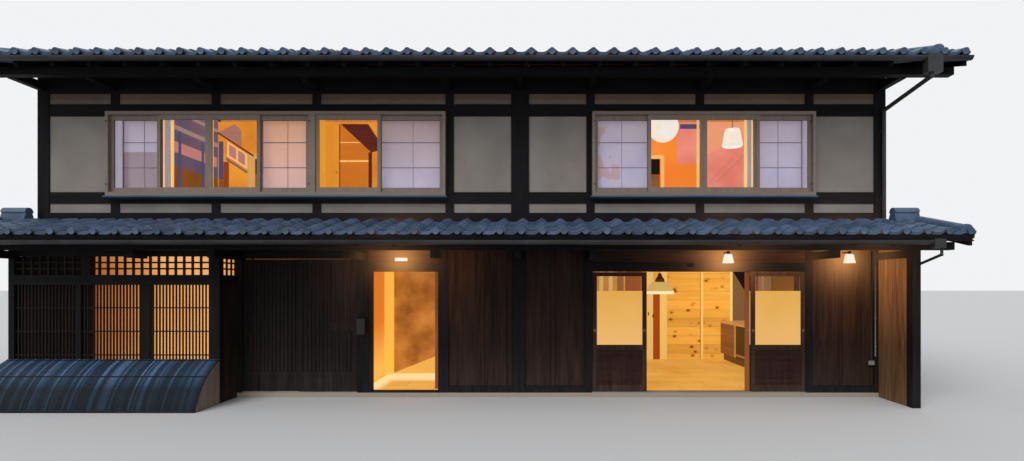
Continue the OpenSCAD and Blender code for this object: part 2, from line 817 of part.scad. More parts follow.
module rear_rails() {
    color("#241d1a")
        for (i = [0:3])
            for (z = [[beam_z, low_panel_z], [sill_rail_z, window_z], [head_rail_z, top_panel_z]])
                block([rear_left(i), rear_left(i) + rear_bay], rear_face, z);
}

module rear_plaster() {
    y = [rear_y - plaster_set - plaster_t, rear_y - plaster_set];
    color("#d9cdb0")
        for (i = [0:3]) {
            x = [rear_left(i), rear_left(i) + rear_bay];
            block(x, y, [low_panel_z, sill_rail_z]);
            block(x, y, [top_panel_z, plate_z]);
            if (i == 0 || i == 3)
                block(x, y, [window_z, head_rail_z]);
        }
}

module rear_windows() {
    color("#c9a878")
        for (i = [1:2])
            ring([rear_left(i), rear_left(i) + rear_bay], rear_frame_y, [window_z, head_rail_z],
                frame_side, frame_sill, frame_head);
}

// Arms and purlins of both eaves
main_arm_drop = 7;
end_arm_w = 45;

module eave_arms() {
    main_arm_z = [main_under(main_purlin_at + purlin_w / 2) - purlin_h - main_arm_drop,
        main_under(main_purlin_at + purlin_w / 2)];
    pent_arm_z = pent_under(pent_purlin_at + purlin_w / 2) - purlin_h;
    arm_x = [bay_right + arm_w / 2, (lattice_right + mid_post_right) / 2,
        (entry_right + board_a_left) / 2, (board_a_right + board_b_left) / 2,
        (board_b_right + shop_left) / 2, (shop_right + board_c_left) / 2];
    color("#241d1a") {
        block([end_x[0] - end_arm_w, end_x[0]], [out(pent_purlin_at - purlin_w / 2), out(0)],
            [pent_arm_z - purlin_h, pent_arm_z]);
        for (i = [0:last_post])
            block([grid_x(i) - arm_w / 2, grid_x(i) + arm_w / 2],
                [out(main_purlin_at - purlin_w / 2), out(0)], main_arm_z);
        for (x = arm_x)
            block([x - arm_w / 2, x + arm_w / 2], [out(pent_purlin_at + purlin_w / 2), out(0)],
                [pent_arm_z - purlin_h, pent_arm_z]);
        for (x = [left_x + arm_w / 2, (bay_x2 + bay_x3) / 2])
            block([x - arm_w / 2, x + arm_w / 2], [out(pent_purlin_at + purlin_w / 2), out(bay_d)],
                [pent_arm_z - purlin_h, pent_arm_z]);
    }
}

purlin_end = 20;

module eave_purlins() {
    main_z = main_under(main_purlin_at + purlin_w / 2);
    pent_z = pent_under(pent_purlin_at + purlin_w / 2);
    main_y = [out(main_purlin_at + purlin_w / 2), out(main_purlin_at - purlin_w / 2)];
    pent_y = [out(pent_purlin_at + purlin_w / 2), out(pent_purlin_at - purlin_w / 2)];
    color("#241d1a") {
        block([-main_half_w + purlin_end, main_half_w - purlin_end], main_y, [main_z - purlin_h, main_z]);
        block([-pent_half_w + purlin_end, pent_half_w - purlin_end], pent_y, [pent_z - purlin_h, pent_z]);
        block([-main_half_w + purlin_end, main_half_w - purlin_end],
            [2 * ridge_y - main_y[1], 2 * ridge_y - main_y[0]], [main_z - purlin_h, main_z]);
    }
}

// A sloping layer from the eave to a line further in; under is the rafters' underside
module slope_layer(half_w, eave, inner, under_in, under_out, low, high) {
    along_x([-half_w, half_w], [[out(eave), under_out + low], [out(inner), under_in + low],
        [out(inner), under_in + high], [out(eave), under_out + high]]);
}

module main_half() {
    inner = ridge_d + ridge_gap / 2;
    slope_layer(main_half_w, main_eave, inner, main_under(inner), main_under(main_eave),
        rafter_h, rafter_h + deck_t);
    count = floor((2 * main_half_w - rafter_w) / rafter_pitch);
    step = (2 * main_half_w - rafter_w) / count;
    for (i = [0:count])
        slope_rafter(-main_half_w + i * step, main_eave - rafter_set, inner,
            main_under(main_eave - rafter_set), main_under(inner));
}

// The rafters run a little into the boards, so that both are one piece
rafter_set = 30;
rafter_in = 1;

module slope_rafter(x, eave, inner, under_out, under_in) {
    along_x([x, x + rafter_w], [[out(eave), under_out], [out(inner), under_in],
        [out(inner), under_in + rafter_h + rafter_in], [out(eave), under_out + rafter_h + rafter_in]]);
}

module both_sides() {
    children();
    translate([0, 2 * ridge_y, 0])
        mirror([0, 1, 0])
            children();
}

module main_roof_frame() {
    color("#2a221d")
        both_sides()
            main_half();
}

// A solid drawn out in (X, Z) for a length up a slope, from the eave at x
module up_slope(x, eave, top_z, slope, length) {
    translate([x, out(eave), top_z])
        rotate([atan(slope), 0, 0])
            rotate([90, 0, 0])
                translate([0, 0, -length])
                    linear_extrude(height = length)
                        children();
}

// The tiles' rolls, every second one, as ribs that run up the slope. They keep clear of what stands
// on the tiles at clear_x. A roll lies at one side of its tile.
roll_share = 0.8;
rib_h = 50;
rib_half = 95;
rib_sink = 5;
rib_set_in = 12;
rib_end_gap = 24;

module tile_ribs(half_w, eave, inner, top_z, slope, clear_x) {
    count = round(2 * half_w / tile_pitch);
    start = eave - rib_set_in;
    for (k = [2:2:count - 3]) {
        x = -half_w + (k + roll_share) * 2 * half_w / count;
        if (min([for (c = clear_x) abs(x - c)]) > rib_half + roll_half)
            up_slope(x, start, top_z + rib_set_in * slope, slope, (start - inner) / cos(atan(slope)))
                polygon([for (a = [-1:0.4:1])
                    [a * rib_half, (rib_h + rib_sink) * (1 + cos(180 * a)) / 2 - rib_sink]]);
    }
}

// The rear slope is the front one turned round, so that its rolls lie at the same side of their tiles
module main_roof_tiles() {
    inner = ridge_d + ridge_gap / 2;
    roll_x = main_half_w - main_roll_in;
    color("#6d7884")
        for (turn = [0, 180])
            translate([0, turn == 0 ? 0 : 2 * ridge_y, 0])
                rotate([0, 0, turn]) {
                    slope_layer(main_half_w, main_eave, inner, main_under(inner), main_under(main_eave),
                        rafter_h + deck_t, roof_build);
                    tile_ribs(main_half_w, main_eave, ridge_d + ridge_half + rib_end_gap,
                        main_top(main_eave), main_slope, [roll_x, -roll_x]);
                }
}

// A stack of flat courses, each narrower by a step, under a row of round cover tiles.
// Its foot is given as points; y is its middle, z the top of the foot.
course_h = 30;
course_step = 12;
function stack_side(y, z, half, courses, side) = [for (i = [0:courses - 1]) for (k = [0:1])
    [y + side * (half - i * course_step), z + (i + k) * course_h]];
function stack(foot, y, z, half, courses) = concat(foot, stack_side(y, z, half, courses, 1),
    arc(y, z + courses * course_h, roll_r, 0, 180, 12),
    [for (i = [2 * courses - 1:-1:0]) stack_side(y, z, half, courses, -1)[i]]);

ridge_half = 130;
ridge_courses = 3;
ridge_end_t = 60;
ridge_end_half = 210;
ridge_end_h = 300;

// The plate that closes an end of the ridge, with a rounded head
module ridge_end(x, top) {
    shoulder = ridge_end_h - ridge_end_half * 0.8;
    along_x(x, concat([[ridge_y - ridge_end_half, top - main_slope * ridge_end_half], [ridge_y, top],
        [ridge_y + ridge_end_half, top - main_slope * ridge_end_half]],
        arc(ridge_y, top + shoulder, ridge_end_half * 0.8, 0, 180, 10)));
}

// A row of round tiles on a flat course, up the slope from the eave
roll_half = 120;
roll_base_h = 35;
roll_end_t = 25;
roll_rim = 10;
roll_clear = 0.05;

module roll_profile(r) {
    polygon(concat([[-roll_half, 0], [roll_half, 0], [roll_half, roll_base_h]],
        arc(0, roll_base_h, r, 0, 180, 12), [[-roll_half, roll_base_h]]));
}

module verge_roll(x, eave, top_z, slope, inner) {
    up_slope(x, eave, top_z + roll_clear, slope, (eave - inner) / cos(atan(slope)))
        roll_profile(roll_r);
    up_slope(x, eave, top_z + roll_clear, slope, roll_end_t)
        roll_profile(roll_r + roll_rim);
}

// The short ridge on the lower roof, past each end of the wall
pent_ridge_d = 180;
pent_ridge_from = 35;
pent_ridge_to = 375;
pent_ridge_courses = 4;
roll_gap = 12;

module pent_ridge() {
    half = pent_ridge_d / 2;
    along_x([right_x + pent_ridge_from, right_x + pent_ridge_to],
        stack([[out(2 * half), pent_top(2 * half)], [out(0), pent_top(0)]], out(half), pent_top(0), half,
            pent_ridge_courses));
}

module roof_ridge() {
    top = main_top(ridge_d);
    color("#5f6a76") {
        along_x([-main_half_w + ridge_end_t, main_half_w - ridge_end_t],
            stack([[ridge_y - ridge_half, top - main_slope * ridge_half], [ridge_y, top],
                [ridge_y + ridge_half, top - main_slope * ridge_half]],
                ridge_y, top, ridge_half, ridge_courses));
        ridge_end([-main_half_w, -main_half_w + ridge_end_t], top);
        ridge_end([main_half_w - ridge_end_t, main_half_w], top);
        both_sides()
            for (x = [-main_half_w + main_roll_in, main_half_w - main_roll_in])
                verge_roll(x, main_eave, main_top(main_eave), main_slope,
                    ridge_d + ridge_end_half + roll_gap);
        for (x = [-pent_half_w + pent_roll_in, pent_half_w - pent_roll_in])
            verge_roll(x, pent_eave, pent_top(pent_eave), pent_slope, pent_ridge_d + roll_gap);
        pent_ridge();
        mirror([1, 0, 0])
            pent_ridge();
    }
}

module pent_roof_frame() {
    count = floor((2 * pent_half_w - rafter_w) / rafter_pitch);
    step = (2 * pent_half_w - rafter_w) / count;
    color("#2a221d") {
        slope_layer(pent_half_w, pent_eave, 0, pent_under(0), pent_under(pent_eave),
            rafter_h, rafter_h + deck_t);
        for (i = [0:count])
            slope_rafter(-pent_half_w + i * step, pent_eave - rafter_set, 0,
                pent_under(pent_eave - rafter_set), pent_under(0));
    }
}

module pent_roof_tiles() {
    roll_x = pent_half_w - pent_roll_in;
    color("#6d7884") {
        slope_layer(pent_half_w, pent_eave, 0, pent_under(0), pent_under(pent_eave),
            rafter_h + deck_t, roof_build);
        tile_ribs(pent_half_w, pent_eave, rib_end_gap, pent_top(pent_eave), pent_slope,
            [roll_x, -roll_x, right_x - corner_pipe_in]);
    }
}

// Half-round gutters with a box at the right end, from which a pipe leads down
gutter_t = 4;
main_gutter_z = main_under(main_eave) + rafter_h + 40;
pent_gutter_z = pent_under(pent_eave) + rafter_h + 5;
pent_gutter_half = right_x - 90;
box_rise = 18;
main_box_x = [right_x - 43, right_x + 143];
main_box_h = 224;
pent_box_x = [right_x - 95, right_x + 40];
pent_box_h = 110;

module gutter(half_w, eave, top_z, box_x, box_h) {
    y = out(eave + gutter_r);
    translate([-half_w, y, top_z])
        rotate([90, 0, 90])
            linear_extrude(height = 2 * half_w)
                difference() {
                    circle(r = gutter_r, $fn = 24);
                    circle(r = gutter_r - gutter_t, $fn = 24);
                    translate([-2 * gutter_r, 0])
                        square([4 * gutter_r, 2 * gutter_r]);
                }
    block(box_x, [y - gutter_r - gutter_t, y + gutter_r - 1], [top_z + box_rise - box_h, top_z + box_rise]);
}

module gutters() {
    color("#2c3036") {
        gutter(main_half_w, main_eave, main_gutter_z, main_box_x, main_box_h);
        gutter(pent_gutter_half, pent_eave, pent_gutter_z, pent_box_x, pent_box_h);
    }
}

// A pipe through a list of points, with round elbows
module pipe(points, r) {
    for (i = [0:len(points) - 2]) {
        v = points[i + 1] - points[i];
        length = norm(v);
        translate(points[i])
            rotate([0, acos(v[2] / length), atan2(v[1], v[0])])
                cylinder(r = r, h = length, $fn = 24);
    }
    for (i = [1:len(points) - 2])
        translate(points[i])
            sphere(r = r + 3, $fn = 24);
}

stub_h = 40;
clip_h = 30;
corner_pipe_in = 45;
wall_gap = 6;
outlet_z = 480;
outlet_w = 60;
outlet_h = 80;
conduit_r = 8;

module downpipes() {
    main_x = (main_box_x[0] + main_box_x[1]) / 2 - 20;
    main_foot = main_gutter_z + box_rise - main_box_h;
    main_y = out(main_eave + gutter_r);
    corner = [right_x - corner_pipe_in, out(pipe_r + wall_gap), main_foot - 210];
    thin_y = out(pent_eave + gutter_r);
    thin_foot = pent_gutter_z + box_rise - pent_box_h;
    thin_top_x = pent_box_x[1] - thin_pipe_r - 3;
    thin_x = right_x + thin_pipe_r + wall_gap;
    thin_back = out(pent_purlin_at - 80);
    conduit_x = right_x - corner_post_w - 22;
    conduit_y = front_y + board_set - conduit_r;
    color("#2c3036") {
        pipe([[main_x, main_y, main_foot], [main_x, main_y, main_foot - stub_h], corner,
            [corner[0], corner[1], pent_top(0)]], pipe_r);
        for (z = [corner[2] - 300, pent_top(0) + 300])
            block([corner[0] - pipe_r - 2, corner[0] + pipe_r + 2], [corner[1], out(0)], [z, z + clip_h]);
        pipe([[thin_top_x, thin_y, thin_foot], [thin_top_x, thin_y, thin_foot - 2 * stub_h],
            [thin_x, thin_back, thin_foot - 5 * stub_h], [thin_x, thin_back, clip_h]], thin_pipe_r);
        for (z = [slab_h + 300, slab_h + 1200])
            block([right_x, thin_x], [thin_back - thin_pipe_r, thin_back + thin_pipe_r], [z, z + clip_h]);
        translate([conduit_x, conduit_y, outlet_z + outlet_h / 2])
            cylinder(r = conduit_r, h = pent_under(0) - outlet_z - outlet_h / 2 - rafter_h, $fn = 16);
        block([conduit_x - outlet_w, conduit_x + outlet_w / 4],
            [front_y + board_set - outlet_w / 2, front_y + board_set],
            [outlet_z - outlet_h / 2, outlet_z + outlet_h / 2]);
    }
}

lamp_z = 1866;
lamp_h = 125;
lamp_top_r = 56;
lamp_shoulder = 22;
lamp_out = 150;
lamp_neck_r = 22;
lamp_arm_r = 10;
entry_lamp_r = 88;
entry_lamp_h = 45;
entry_lamp_z = 1900;

module bracket_lamp(x) {
    translate([x, out(lamp_out), lamp_z]) {
        rotate_extrude($fn = 32)
            polygon(concat(
                [[0, 0], [lamp_r, 0]],
                arc(lamp_top_r - lamp_shoulder, lamp_h - lamp_shoulder, lamp_shoulder, 0, 90, 3),
                [[0, lamp_h]]));
        translate([0, 0, lamp_h - 1])
            cylinder(r = lamp_neck_r, h = 40, $fn = 24);
        translate([0, 0, lamp_h + 25])
            rotate([-90, 0, 0])
                cylinder(r = lamp_arm_r, h = lamp_out + board_set, $fn = 16);
    }
}

module bracket_lamps() {
    color("#f2e6d0") {
        bracket_lamp(shop_left + shop_open_w * 0.62);
        bracket_lamp((board_c_left + board_c_right) / 2);
        difference() {
            translate([entry_left + entry_open_w * 0.44, front_y + board_set, entry_lamp_z])
                cylinder(r = entry_lamp_r, h = entry_lamp_h, $fn = 32);
            block([entry_left, entry_right], [front_y + board_set, wall_back_y + entry_lamp_r],
                [entry_lamp_z - 1, entry_lamp_z + entry_lamp_h + 1]);
        }
    }
}

module post_box() {
    box_w = 110;
    box_d = 100;
    box_h = 250;
    box_z = 880;
    mid = (lattice_right + mid_post_right) / 2;
    color("#15130f")
        along_x([mid - box_w / 2, mid + box_w / 2], [[out(0), box_z + box_h * 0.16], [out(0), box_z + box_h],
            [out(box_d), box_z + box_h * 0.88], [out(box_d), box_z], [out(box_d * 0.6), box_z]]);
}

// Inner walls that show through the two doorways
pine_t = 90;
hall_side = 250;
hall_post_w = 135;
hall_gap = 120;

module pine_wall() {
    hall_x = entry_left - hall_side;
    color("#d8a860") {
        block([right_x - wall_t - shop_wall_w, right_x - wall_t], [out(-pine_at), out(-pine_at - pine_t)],
            [slab_h, floor_z]);
        block([hall_x - pine_t, board_a_right], [out(-entry_back_at), out(-entry_back_at - pine_t)],
            [slab_h, floor_z]);
        block([hall_x - pine_t, hall_x], [wall_back_y + hall_gap, out(-entry_back_at)], [slab_h, floor_z]);
        block([hall_x, hall_x + hall_post_w], [out(-entry_back_at + hall_gap), out(-entry_back_at)],
            [slab_h, floor_z]);
    }
}

// The counter runs from the back wall toward the street: a plank top on a cupboard that stands back
// from its edges, over a foot that stands back further
counter_t = 40;
counter_set = 25;
foot_set = 90;
foot_h = 140;

module counter() {
    x = right_x - wall_t - counter_reach;
    y = [out(-pine_at) - counter_l, out(-pine_at)];
    color("#1c1a18") {
        block([x, x + counter_w], y, [counter_z - counter_t, counter_z]);
        block([x + counter_set, x + counter_w - counter_set], [y[0] + counter_set, y[1]],
            [slab_h + foot_h, counter_z - counter_t]);
        block([x + foot_set, x + counter_w - foot_set], [y[0] + foot_set, y[1]], [slab_h, slab_h + foot_h]);
    }
}

// Profiles of the shades: a dome and a cone, each over a straight rim of height lip
module dome_shade(r, h, lip) {
    polygon(concat([[0, 0], [r, 0]], [for (i = [0:6]) [r * cos(i * 15), lip + (h - lip) * sin(i * 15)]]));
}

module cone_shade(r, h, lip, top_r) {
    polygon([[0, 0], [r, 0], [r, lip], [top_r, h], [0, h]]);
}

// A shade of height h turned from a profile, on a rod
rod_r = 6;

module pendant(at, h, hang) {
    translate(at) {
        rotate_extrude($fn = 32)
            children();
        translate([0, 0, h - 1])
            cylinder(r = rod_r, h = hang + 1, $fn = 16);
    }
}

module pendants() {
    shop_lamp_z = 1420;
    shop_lamp_h = 195;
    dome_z = 3760;
    dome_h = 270;
    drum_z = 3880;
    drum_h = 290;
    color("#f4e8cf") {
        pendant([shop_left + 0.41 * shop_open_w, out(-1300), shop_lamp_z], shop_lamp_h,
            floor_z - shop_lamp_z - shop_lamp_h)
            cone_shade(pendant_r, shop_lamp_h, 45, 0.55 * pendant_r);
        pendant([grid_x(shop_stud) + 0.39 * (right_window_bay * 2), out(-800), dome_z], dome_h,
            main_under(-800) + rafter_h - dome_z - dome_h - rod_r * main_slope)
            dome_shade(dome_r, dome_h, 40);
        pendant([grid_x(last_stud) - 0.174 * (right_window_bay * 2), out(-1600), drum_z], drum_h,
            main_under(-1600) + rafter_h - drum_z - drum_h - rod_r * main_slope)
            cone_shade(drum_r, drum_h, 30, 0.7 * drum_r);
    }
}

// Sliding doors. A leaf stands between x and x + w with its middle plane at y_at
module leaf_ring(x, w, y_at, z, side, foot, head) {
    ring([x, x + w], [y_at - leaf_t / 2, y_at + leaf_t / 2], z, side, foot, head);
}

lattice_leaf_z = [leaf_z, lattice_head_z - leaf_head_gap];
shop_leaf_z = [leaf_z, head_z - leaf_head_gap];

leaf_side = 50;
leaf_kick = 270;
leaf_bar_pitch = 57;
leaf_rails = 5;
panel_rail = 60;
panel_set = 6;

// A sunk panel on the front and back of a leaf
module sunk_panels(x, y_at, z) {
    for (side = [-1, 1])
        translate([0, y_at + side * leaf_t / 2, 0])
            block(x, [-panel_set, panel_set], z);
}

module lattice_leaf(x, y_at) {
    w = lattice_leaf_w - leaf_gap;
    inner = [x + leaf_side, x + w - leaf_side];
    count = floor((w - 2 * leaf_side) / leaf_bar_pitch);
    step = (w - 2 * leaf_side) / (count + 1);
    z = lattice_leaf_z;
    kick_z = z[0] + leaf_kick;
    rail_step = (z[1] - kick_z) / (leaf_rails + 1);
    difference() {
        leaf_ring(x, w, y_at, z, leaf_side, leaf_kick, leaf_side);
        sunk_panels(inner, y_at, [z[0] + panel_rail, kick_z - panel_rail]);
    }
    for (i = [1:count])
        block([inner[0] + i * step - bar_w / 2, inner[0] + i * step + bar_w / 2],
            [y_at - leaf_t / 2 + 2, y_at], [kick_z - 1, z[1] - leaf_side + 1]);
    for (i = [1:leaf_rails])
        block([inner[0] - 1, inner[1] + 1], [y_at - leaf_t / 4, y_at],
            [kick_z + i * rail_step - bar_w / 2, kick_z + i * rail_step + bar_w / 2]);
    block([inner[0] - 1, inner[1] + 1], [y_at - 1, y_at + leaf_t / 4], [kick_z - 1, z[1] - leaf_side + 1]);
}

lock_plate_w = 330;
lock_plate_z = [923, 1035];

module lattice_door_left() {
    color("#1f1a18")
        lattice_leaf(lattice_left + leaf_gap, front_y + rear_track);
}

module lattice_door_right() {
    color("#1f1a18")
        lattice_leaf(lattice_right - lattice_leaf_w, front_y + front_track);
    color("#1f1a18") {
        right = lattice_right - leaf_gap - leaf_side;
        block([right - lock_plate_w, right + 1], [front_y + leaf_gap, front_y + front_track], lock_plate_z);
    }
}

entry_door_show = 14;

module entry_door() {
    x = entry_right - entry_door_show;
    w = entry_leaf_w - leaf_lap;
    y_at = wall_back_y + leaf_gap + leaf_t / 2;
    mid_z = (shop_leaf_z[0] + shop_leaf_z[1]) / 2;
    panels_z = [[shop_leaf_z[0] + 2 * panel_rail, mid_z - panel_rail],
        [mid_z + panel_rail, shop_leaf_z[1] - 2 * panel_rail]];
    color("#4a3626")
        difference() {
            block([x, x + w], [y_at - leaf_t / 2, y_at + leaf_t / 2], shop_leaf_z);
            for (z = panels_z)
                sunk_panels([x + 2 * panel_rail, x + w - 2 * panel_rail], y_at, z);
        }
}

shop_leaf_side = 60;
shop_leaf_foot = 650;
shop_leaf_head = 57;
shop_leaf_base = 85;
glass_in = 4;

module shop_leaf(x, y_at) {
    w = shop_leaf_w - leaf_gap / 2;
    inner = [x + shop_leaf_side, x + w - shop_leaf_side];
    foot_z = shop_leaf_z[0] + shop_leaf_foot;
    difference() {
        leaf_ring(x, w, y_at, shop_leaf_z, shop_leaf_side, shop_leaf_foot, shop_leaf_head);
        sunk_panels(inner, y_at, [shop_leaf_z[0] + shop_leaf_base, foot_z - panel_rail - glass_in]);
    }
    block([inner[0] - glass_in, inner[1] + glass_in], [y_at - glass_t / 2, y_at + glass_t / 2],
        [foot_z - glass_in, shop_leaf_z[1] - shop_leaf_head + glass_in]);
}

module shop_door_1() {
    color("#2e2019")
        shop_leaf(shop_left + leaf_gap, front_y + front_track);
}

module shop_door_2() {
    color("#2e2019")
        shop_leaf(shop_left + leaf_gap, front_y + rear_track);
}

module shop_door_3() {
    color("#2e2019")
        shop_leaf(shop_right - shop_leaf_w - door_peek, front_y + rear_track);
}

module shop_door_4() {
    color("#2e2019")
        shop_leaf(shop_right - shop_leaf_w - leaf_gap / 2, front_y + front_track);
}

ground_floor();
sill_beams();
ground_posts();
corner_posts();
lintels();
header_boards();
board_walls();
entry_jamb();
door_tracks();
head_tracks();
end_wall();
end_post();
bay_frame();
bay_base();
bay_lattice_left();
bay_lattice_middle();
bay_lattice_right();
bay_transom();
bay_return();
bay_screen();
bamboo_skirt();
skirt_ends();
party_walls();
floor_beam();
upper_floor();
upper_rails();
upper_studs();
plaster_panels();
wall_plates();
window_frames();
window_sashes();
window_glass();
paper_screens();
sill_flashing();
rear_posts();
rear_boards();
rear_rails();
rear_plaster();
rear_windows();
eave_arms();
eave_purlins();
main_roof_frame();
main_roof_tiles();
roof_ridge();
pent_roof_frame();
pent_roof_tiles();
gutters();
downpipes();
bracket_lamps();
post_box();
pine_wall();
counter();
pendants();
lattice_door_left();
lattice_door_right();
entry_door();
shop_door_1();
shop_door_2();
shop_door_3();
shop_door_4();
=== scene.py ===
# %% [markdown]
# # A timber townhouse, dressed for its street front
#
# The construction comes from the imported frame: posts, beams, panels, doors and roofs at their real size.
# This lesson adds what the eye reads as age and craft: tiles laid one over another, split bamboo, boards with
# worn edges, panes that are frosted below and clear above, and lamps that glow. Pieces take their places from
# the frame's boxes wherever the frame has them.

# %% Load the frame
import math

import bpy
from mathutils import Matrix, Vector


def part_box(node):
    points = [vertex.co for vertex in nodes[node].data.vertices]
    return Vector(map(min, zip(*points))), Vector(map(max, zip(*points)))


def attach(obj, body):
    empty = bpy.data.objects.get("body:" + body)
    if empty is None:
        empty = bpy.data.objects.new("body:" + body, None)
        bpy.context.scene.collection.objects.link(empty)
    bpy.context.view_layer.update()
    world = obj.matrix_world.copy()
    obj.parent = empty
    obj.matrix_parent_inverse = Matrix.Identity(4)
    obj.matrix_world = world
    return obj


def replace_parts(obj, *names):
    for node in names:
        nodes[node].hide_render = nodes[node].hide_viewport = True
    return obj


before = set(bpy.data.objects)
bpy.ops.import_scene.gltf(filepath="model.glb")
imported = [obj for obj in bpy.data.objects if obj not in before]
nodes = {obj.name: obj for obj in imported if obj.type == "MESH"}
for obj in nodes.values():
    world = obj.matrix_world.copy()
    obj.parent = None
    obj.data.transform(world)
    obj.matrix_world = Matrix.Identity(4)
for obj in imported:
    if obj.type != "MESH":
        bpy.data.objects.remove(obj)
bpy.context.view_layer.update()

# %% [markdown]
# ## The camera
#
# The front is seen from the middle of the street at eye height, looking straight at the wall. Lines that run
# into the house meet right of and below the middle of the picture, so the lens is shifted instead of tilted:
# that keeps the posts upright, as a careful photographer would.

# %% Camera at the street
eye = (1.027, -8.17, 1.566)
lens_mm = 20.4
shift_right, shift_up = -0.0225, 0.0532
camera_data = bpy.data.cameras.new("street_camera")
camera_data.lens = lens_mm
camera_data.shift_x, camera_data.shift_y = shift_right, shift_up
camera = bpy.data.objects.new("street_camera", camera_data)
camera.location = eye
camera.rotation_euler = (math.radians(90), 0, 0)
bpy.context.scene.collection.objects.link(camera)
bpy.context.scene.camera = camera
bpy.context.scene.view_settings.view_transform = "Standard"

# %% [markdown]
# ## Ways to shape
#
# Each new piece starts as a primitive at its size and place, and edit mode does the rest. The helpers deselect
# first, because loading leaves the whole frame selected, and they apply each object's place to its mesh, so
# that patterns in object coordinates don't slide.

# %% Starts, and ways to place and repeat them
FACING = (math.radians(90), 0, 0)


def deselect():
    bpy.ops.object.select_all(action="DESELECT")


def pick(*pieces):
    deselect()
    for piece in pieces:
        piece.select_set(True)
    bpy.context.view_layer.objects.active = pieces[0]


def put(piece, location=(0, 0, 0), turn=(0, 0, 0), scale=(1, 1, 1)):
    """Moves, turns and scales a piece, and applies that to its mesh."""
    piece.location, piece.rotation_euler, piece.scale = location, turn, scale
    pick(piece)
    bpy.ops.object.transform_apply(location=True, rotation=True, scale=True)
    return piece


def started(name, at, turn=(0, 0, 0), scale=(1, 1, 1)):
    """Names the primitive that was just added, and puts it in its place."""
    bpy.context.object.name = name
    return put(bpy.context.object, at, turn, scale)


def block(name, low, high):
    """A block with its corners at low and high."""
    deselect()
    bpy.ops.mesh.primitive_cube_add(size=1)
    return started(name, [(a + b) / 2 for a, b in zip(low, high)], scale=[b - a for a, b in zip(low, high)])


def cylinder(name, radius, depth, at, turn=(0, 0, 0), sides=24):
    deselect()
    bpy.ops.mesh.primitive_cylinder_add(vertices=sides, radius=radius, depth=depth)
    return started(name, at, turn)


def ball(name, radius, at, segments, rings):
    deselect()
    bpy.ops.mesh.primitive_uv_sphere_add(segments=segments, ring_count=rings, radius=radius)
    return started(name, at)


def grid(name, size, steps):
    """A flat grid that starts at the origin, to be bent."""
    deselect()
    bpy.ops.mesh.primitive_grid_add(x_subdivisions=steps[0], y_subdivisions=steps[1], size=1)
    return started(name, (size[0] / 2, size[1] / 2, 0), scale=(*size, 1))


def modify(piece, kind, **settings):
    """Adds a modifier, sets it up and applies it."""
    pick(piece)
    modifier = piece.modifiers.new(kind.lower(), kind)
    for key, value in settings.items():
        setattr(modifier, key, value)
    bpy.ops.object.modifier_apply(modifier=modifier.name)
    return piece


def bevel(piece, width, segments=1):
    return modify(piece, "BEVEL", width=width, segments=segments, limit_method="ANGLE")


def repeat(piece, count, step):
    """Repeats a piece along a step, as one mesh."""
    return modify(piece, "ARRAY", count=count, use_relative_offset=False, use_constant_offset=True,
                  constant_offset_displace=step)


def join(name, pieces):
    pick(*pieces)
    if len(pieces) > 1:
        bpy.ops.object.join()
    pieces[0].name = name
    return pieces[0]


def smooth(piece, degrees=35):
    pick(piece)
    bpy.ops.object.shade_smooth_by_angle(angle=math.radians(degrees))
    return piece


# %% Ways to edit a mesh


def choose(piece, kind, test):
    """Goes to edit mode with the vertices or faces selected whose place and part pass a test."""
    pick(piece)
    bpy.ops.object.mode_set(mode="EDIT")
    bpy.ops.mesh.select_mode(type=kind)
    bpy.ops.mesh.select_all(action="DESELECT")
    leave()
    for part in piece.data.vertices if kind == "VERT" else piece.data.polygons:
        part.select = test(part.co if kind == "VERT" else part.center, part)
    bpy.ops.object.mode_set(mode="EDIT")


def leave():
    bpy.ops.object.mode_set(mode="OBJECT")


def move(piece, test, step):
    """Moves the vertices that pass a test."""
    choose(piece, "VERT", test)
    bpy.ops.transform.translate(value=step)
    leave()


def resize(piece, test, factors, centre):
    """Scales the vertices that pass a test, about a centre."""
    choose(piece, "VERT", test)
    bpy.ops.transform.resize(value=factors, center_override=centre)
    leave()


def inset(piece, test, *steps, each=False):
    """Insets the faces that pass a test, once for each (thickness, depth)."""
    choose(piece, "FACE", test)
    for thickness, depth in steps:
        bpy.ops.mesh.inset(thickness=thickness, depth=depth, use_individual=each)
    leave()
    return piece


def spans(node, axis, test=lambda middle: True):
    """The stretches along an axis that a node's faces cover, as (low, high) pairs."""
    mesh = nodes[node].data
    found = []
    along = [[mesh.vertices[i].co[axis] for i in face.vertices] for face in mesh.polygons if test(face.center)]
    for low, high in sorted((min(values), max(values)) for values in along):
        if found and low < found[-1][1] + 0.0005:
            found[-1] = (found[-1][0], max(found[-1][1], high))
        else:
            found.append((low, high))
    return found


def dress(piece, finish, body="house"):
    """Gives a finished piece its material and the body that it rides on."""
    piece.data.materials.clear()
    piece.data.materials.append(finish.material)
    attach(piece, body)
    triangles = sum(len(face.vertices) - 2 for face in piece.data.polygons)
    print(piece.name, "faces", len(piece.data.polygons), "triangles", triangles)
    return piece


def paint(finish, *names):
    """Puts a finish on nodes of the frame."""
    for name in names:
        slots = nodes[name].data.materials
        slots.clear()
        slots.append(finish.material)


# %% [markdown]
# ## Ways to finish
#
# A finish is a material in the making. What its nodes give can be added, multiplied and compared like plain
# numbers, and each sign adds a math node. So a mask such as "inside the wall and below the ledge" reads as a
# formula.

# %% Values in a shader


def feed(socket, value):
    """Wires a value to an input, or sets the input; a colour may leave out its alpha."""
    if isinstance(value, Value):
        value.tree.links.new(value.socket, socket)
    elif socket.type == "RGBA":
        socket.default_value = (*value, 1)
    else:
        socket.default_value = value


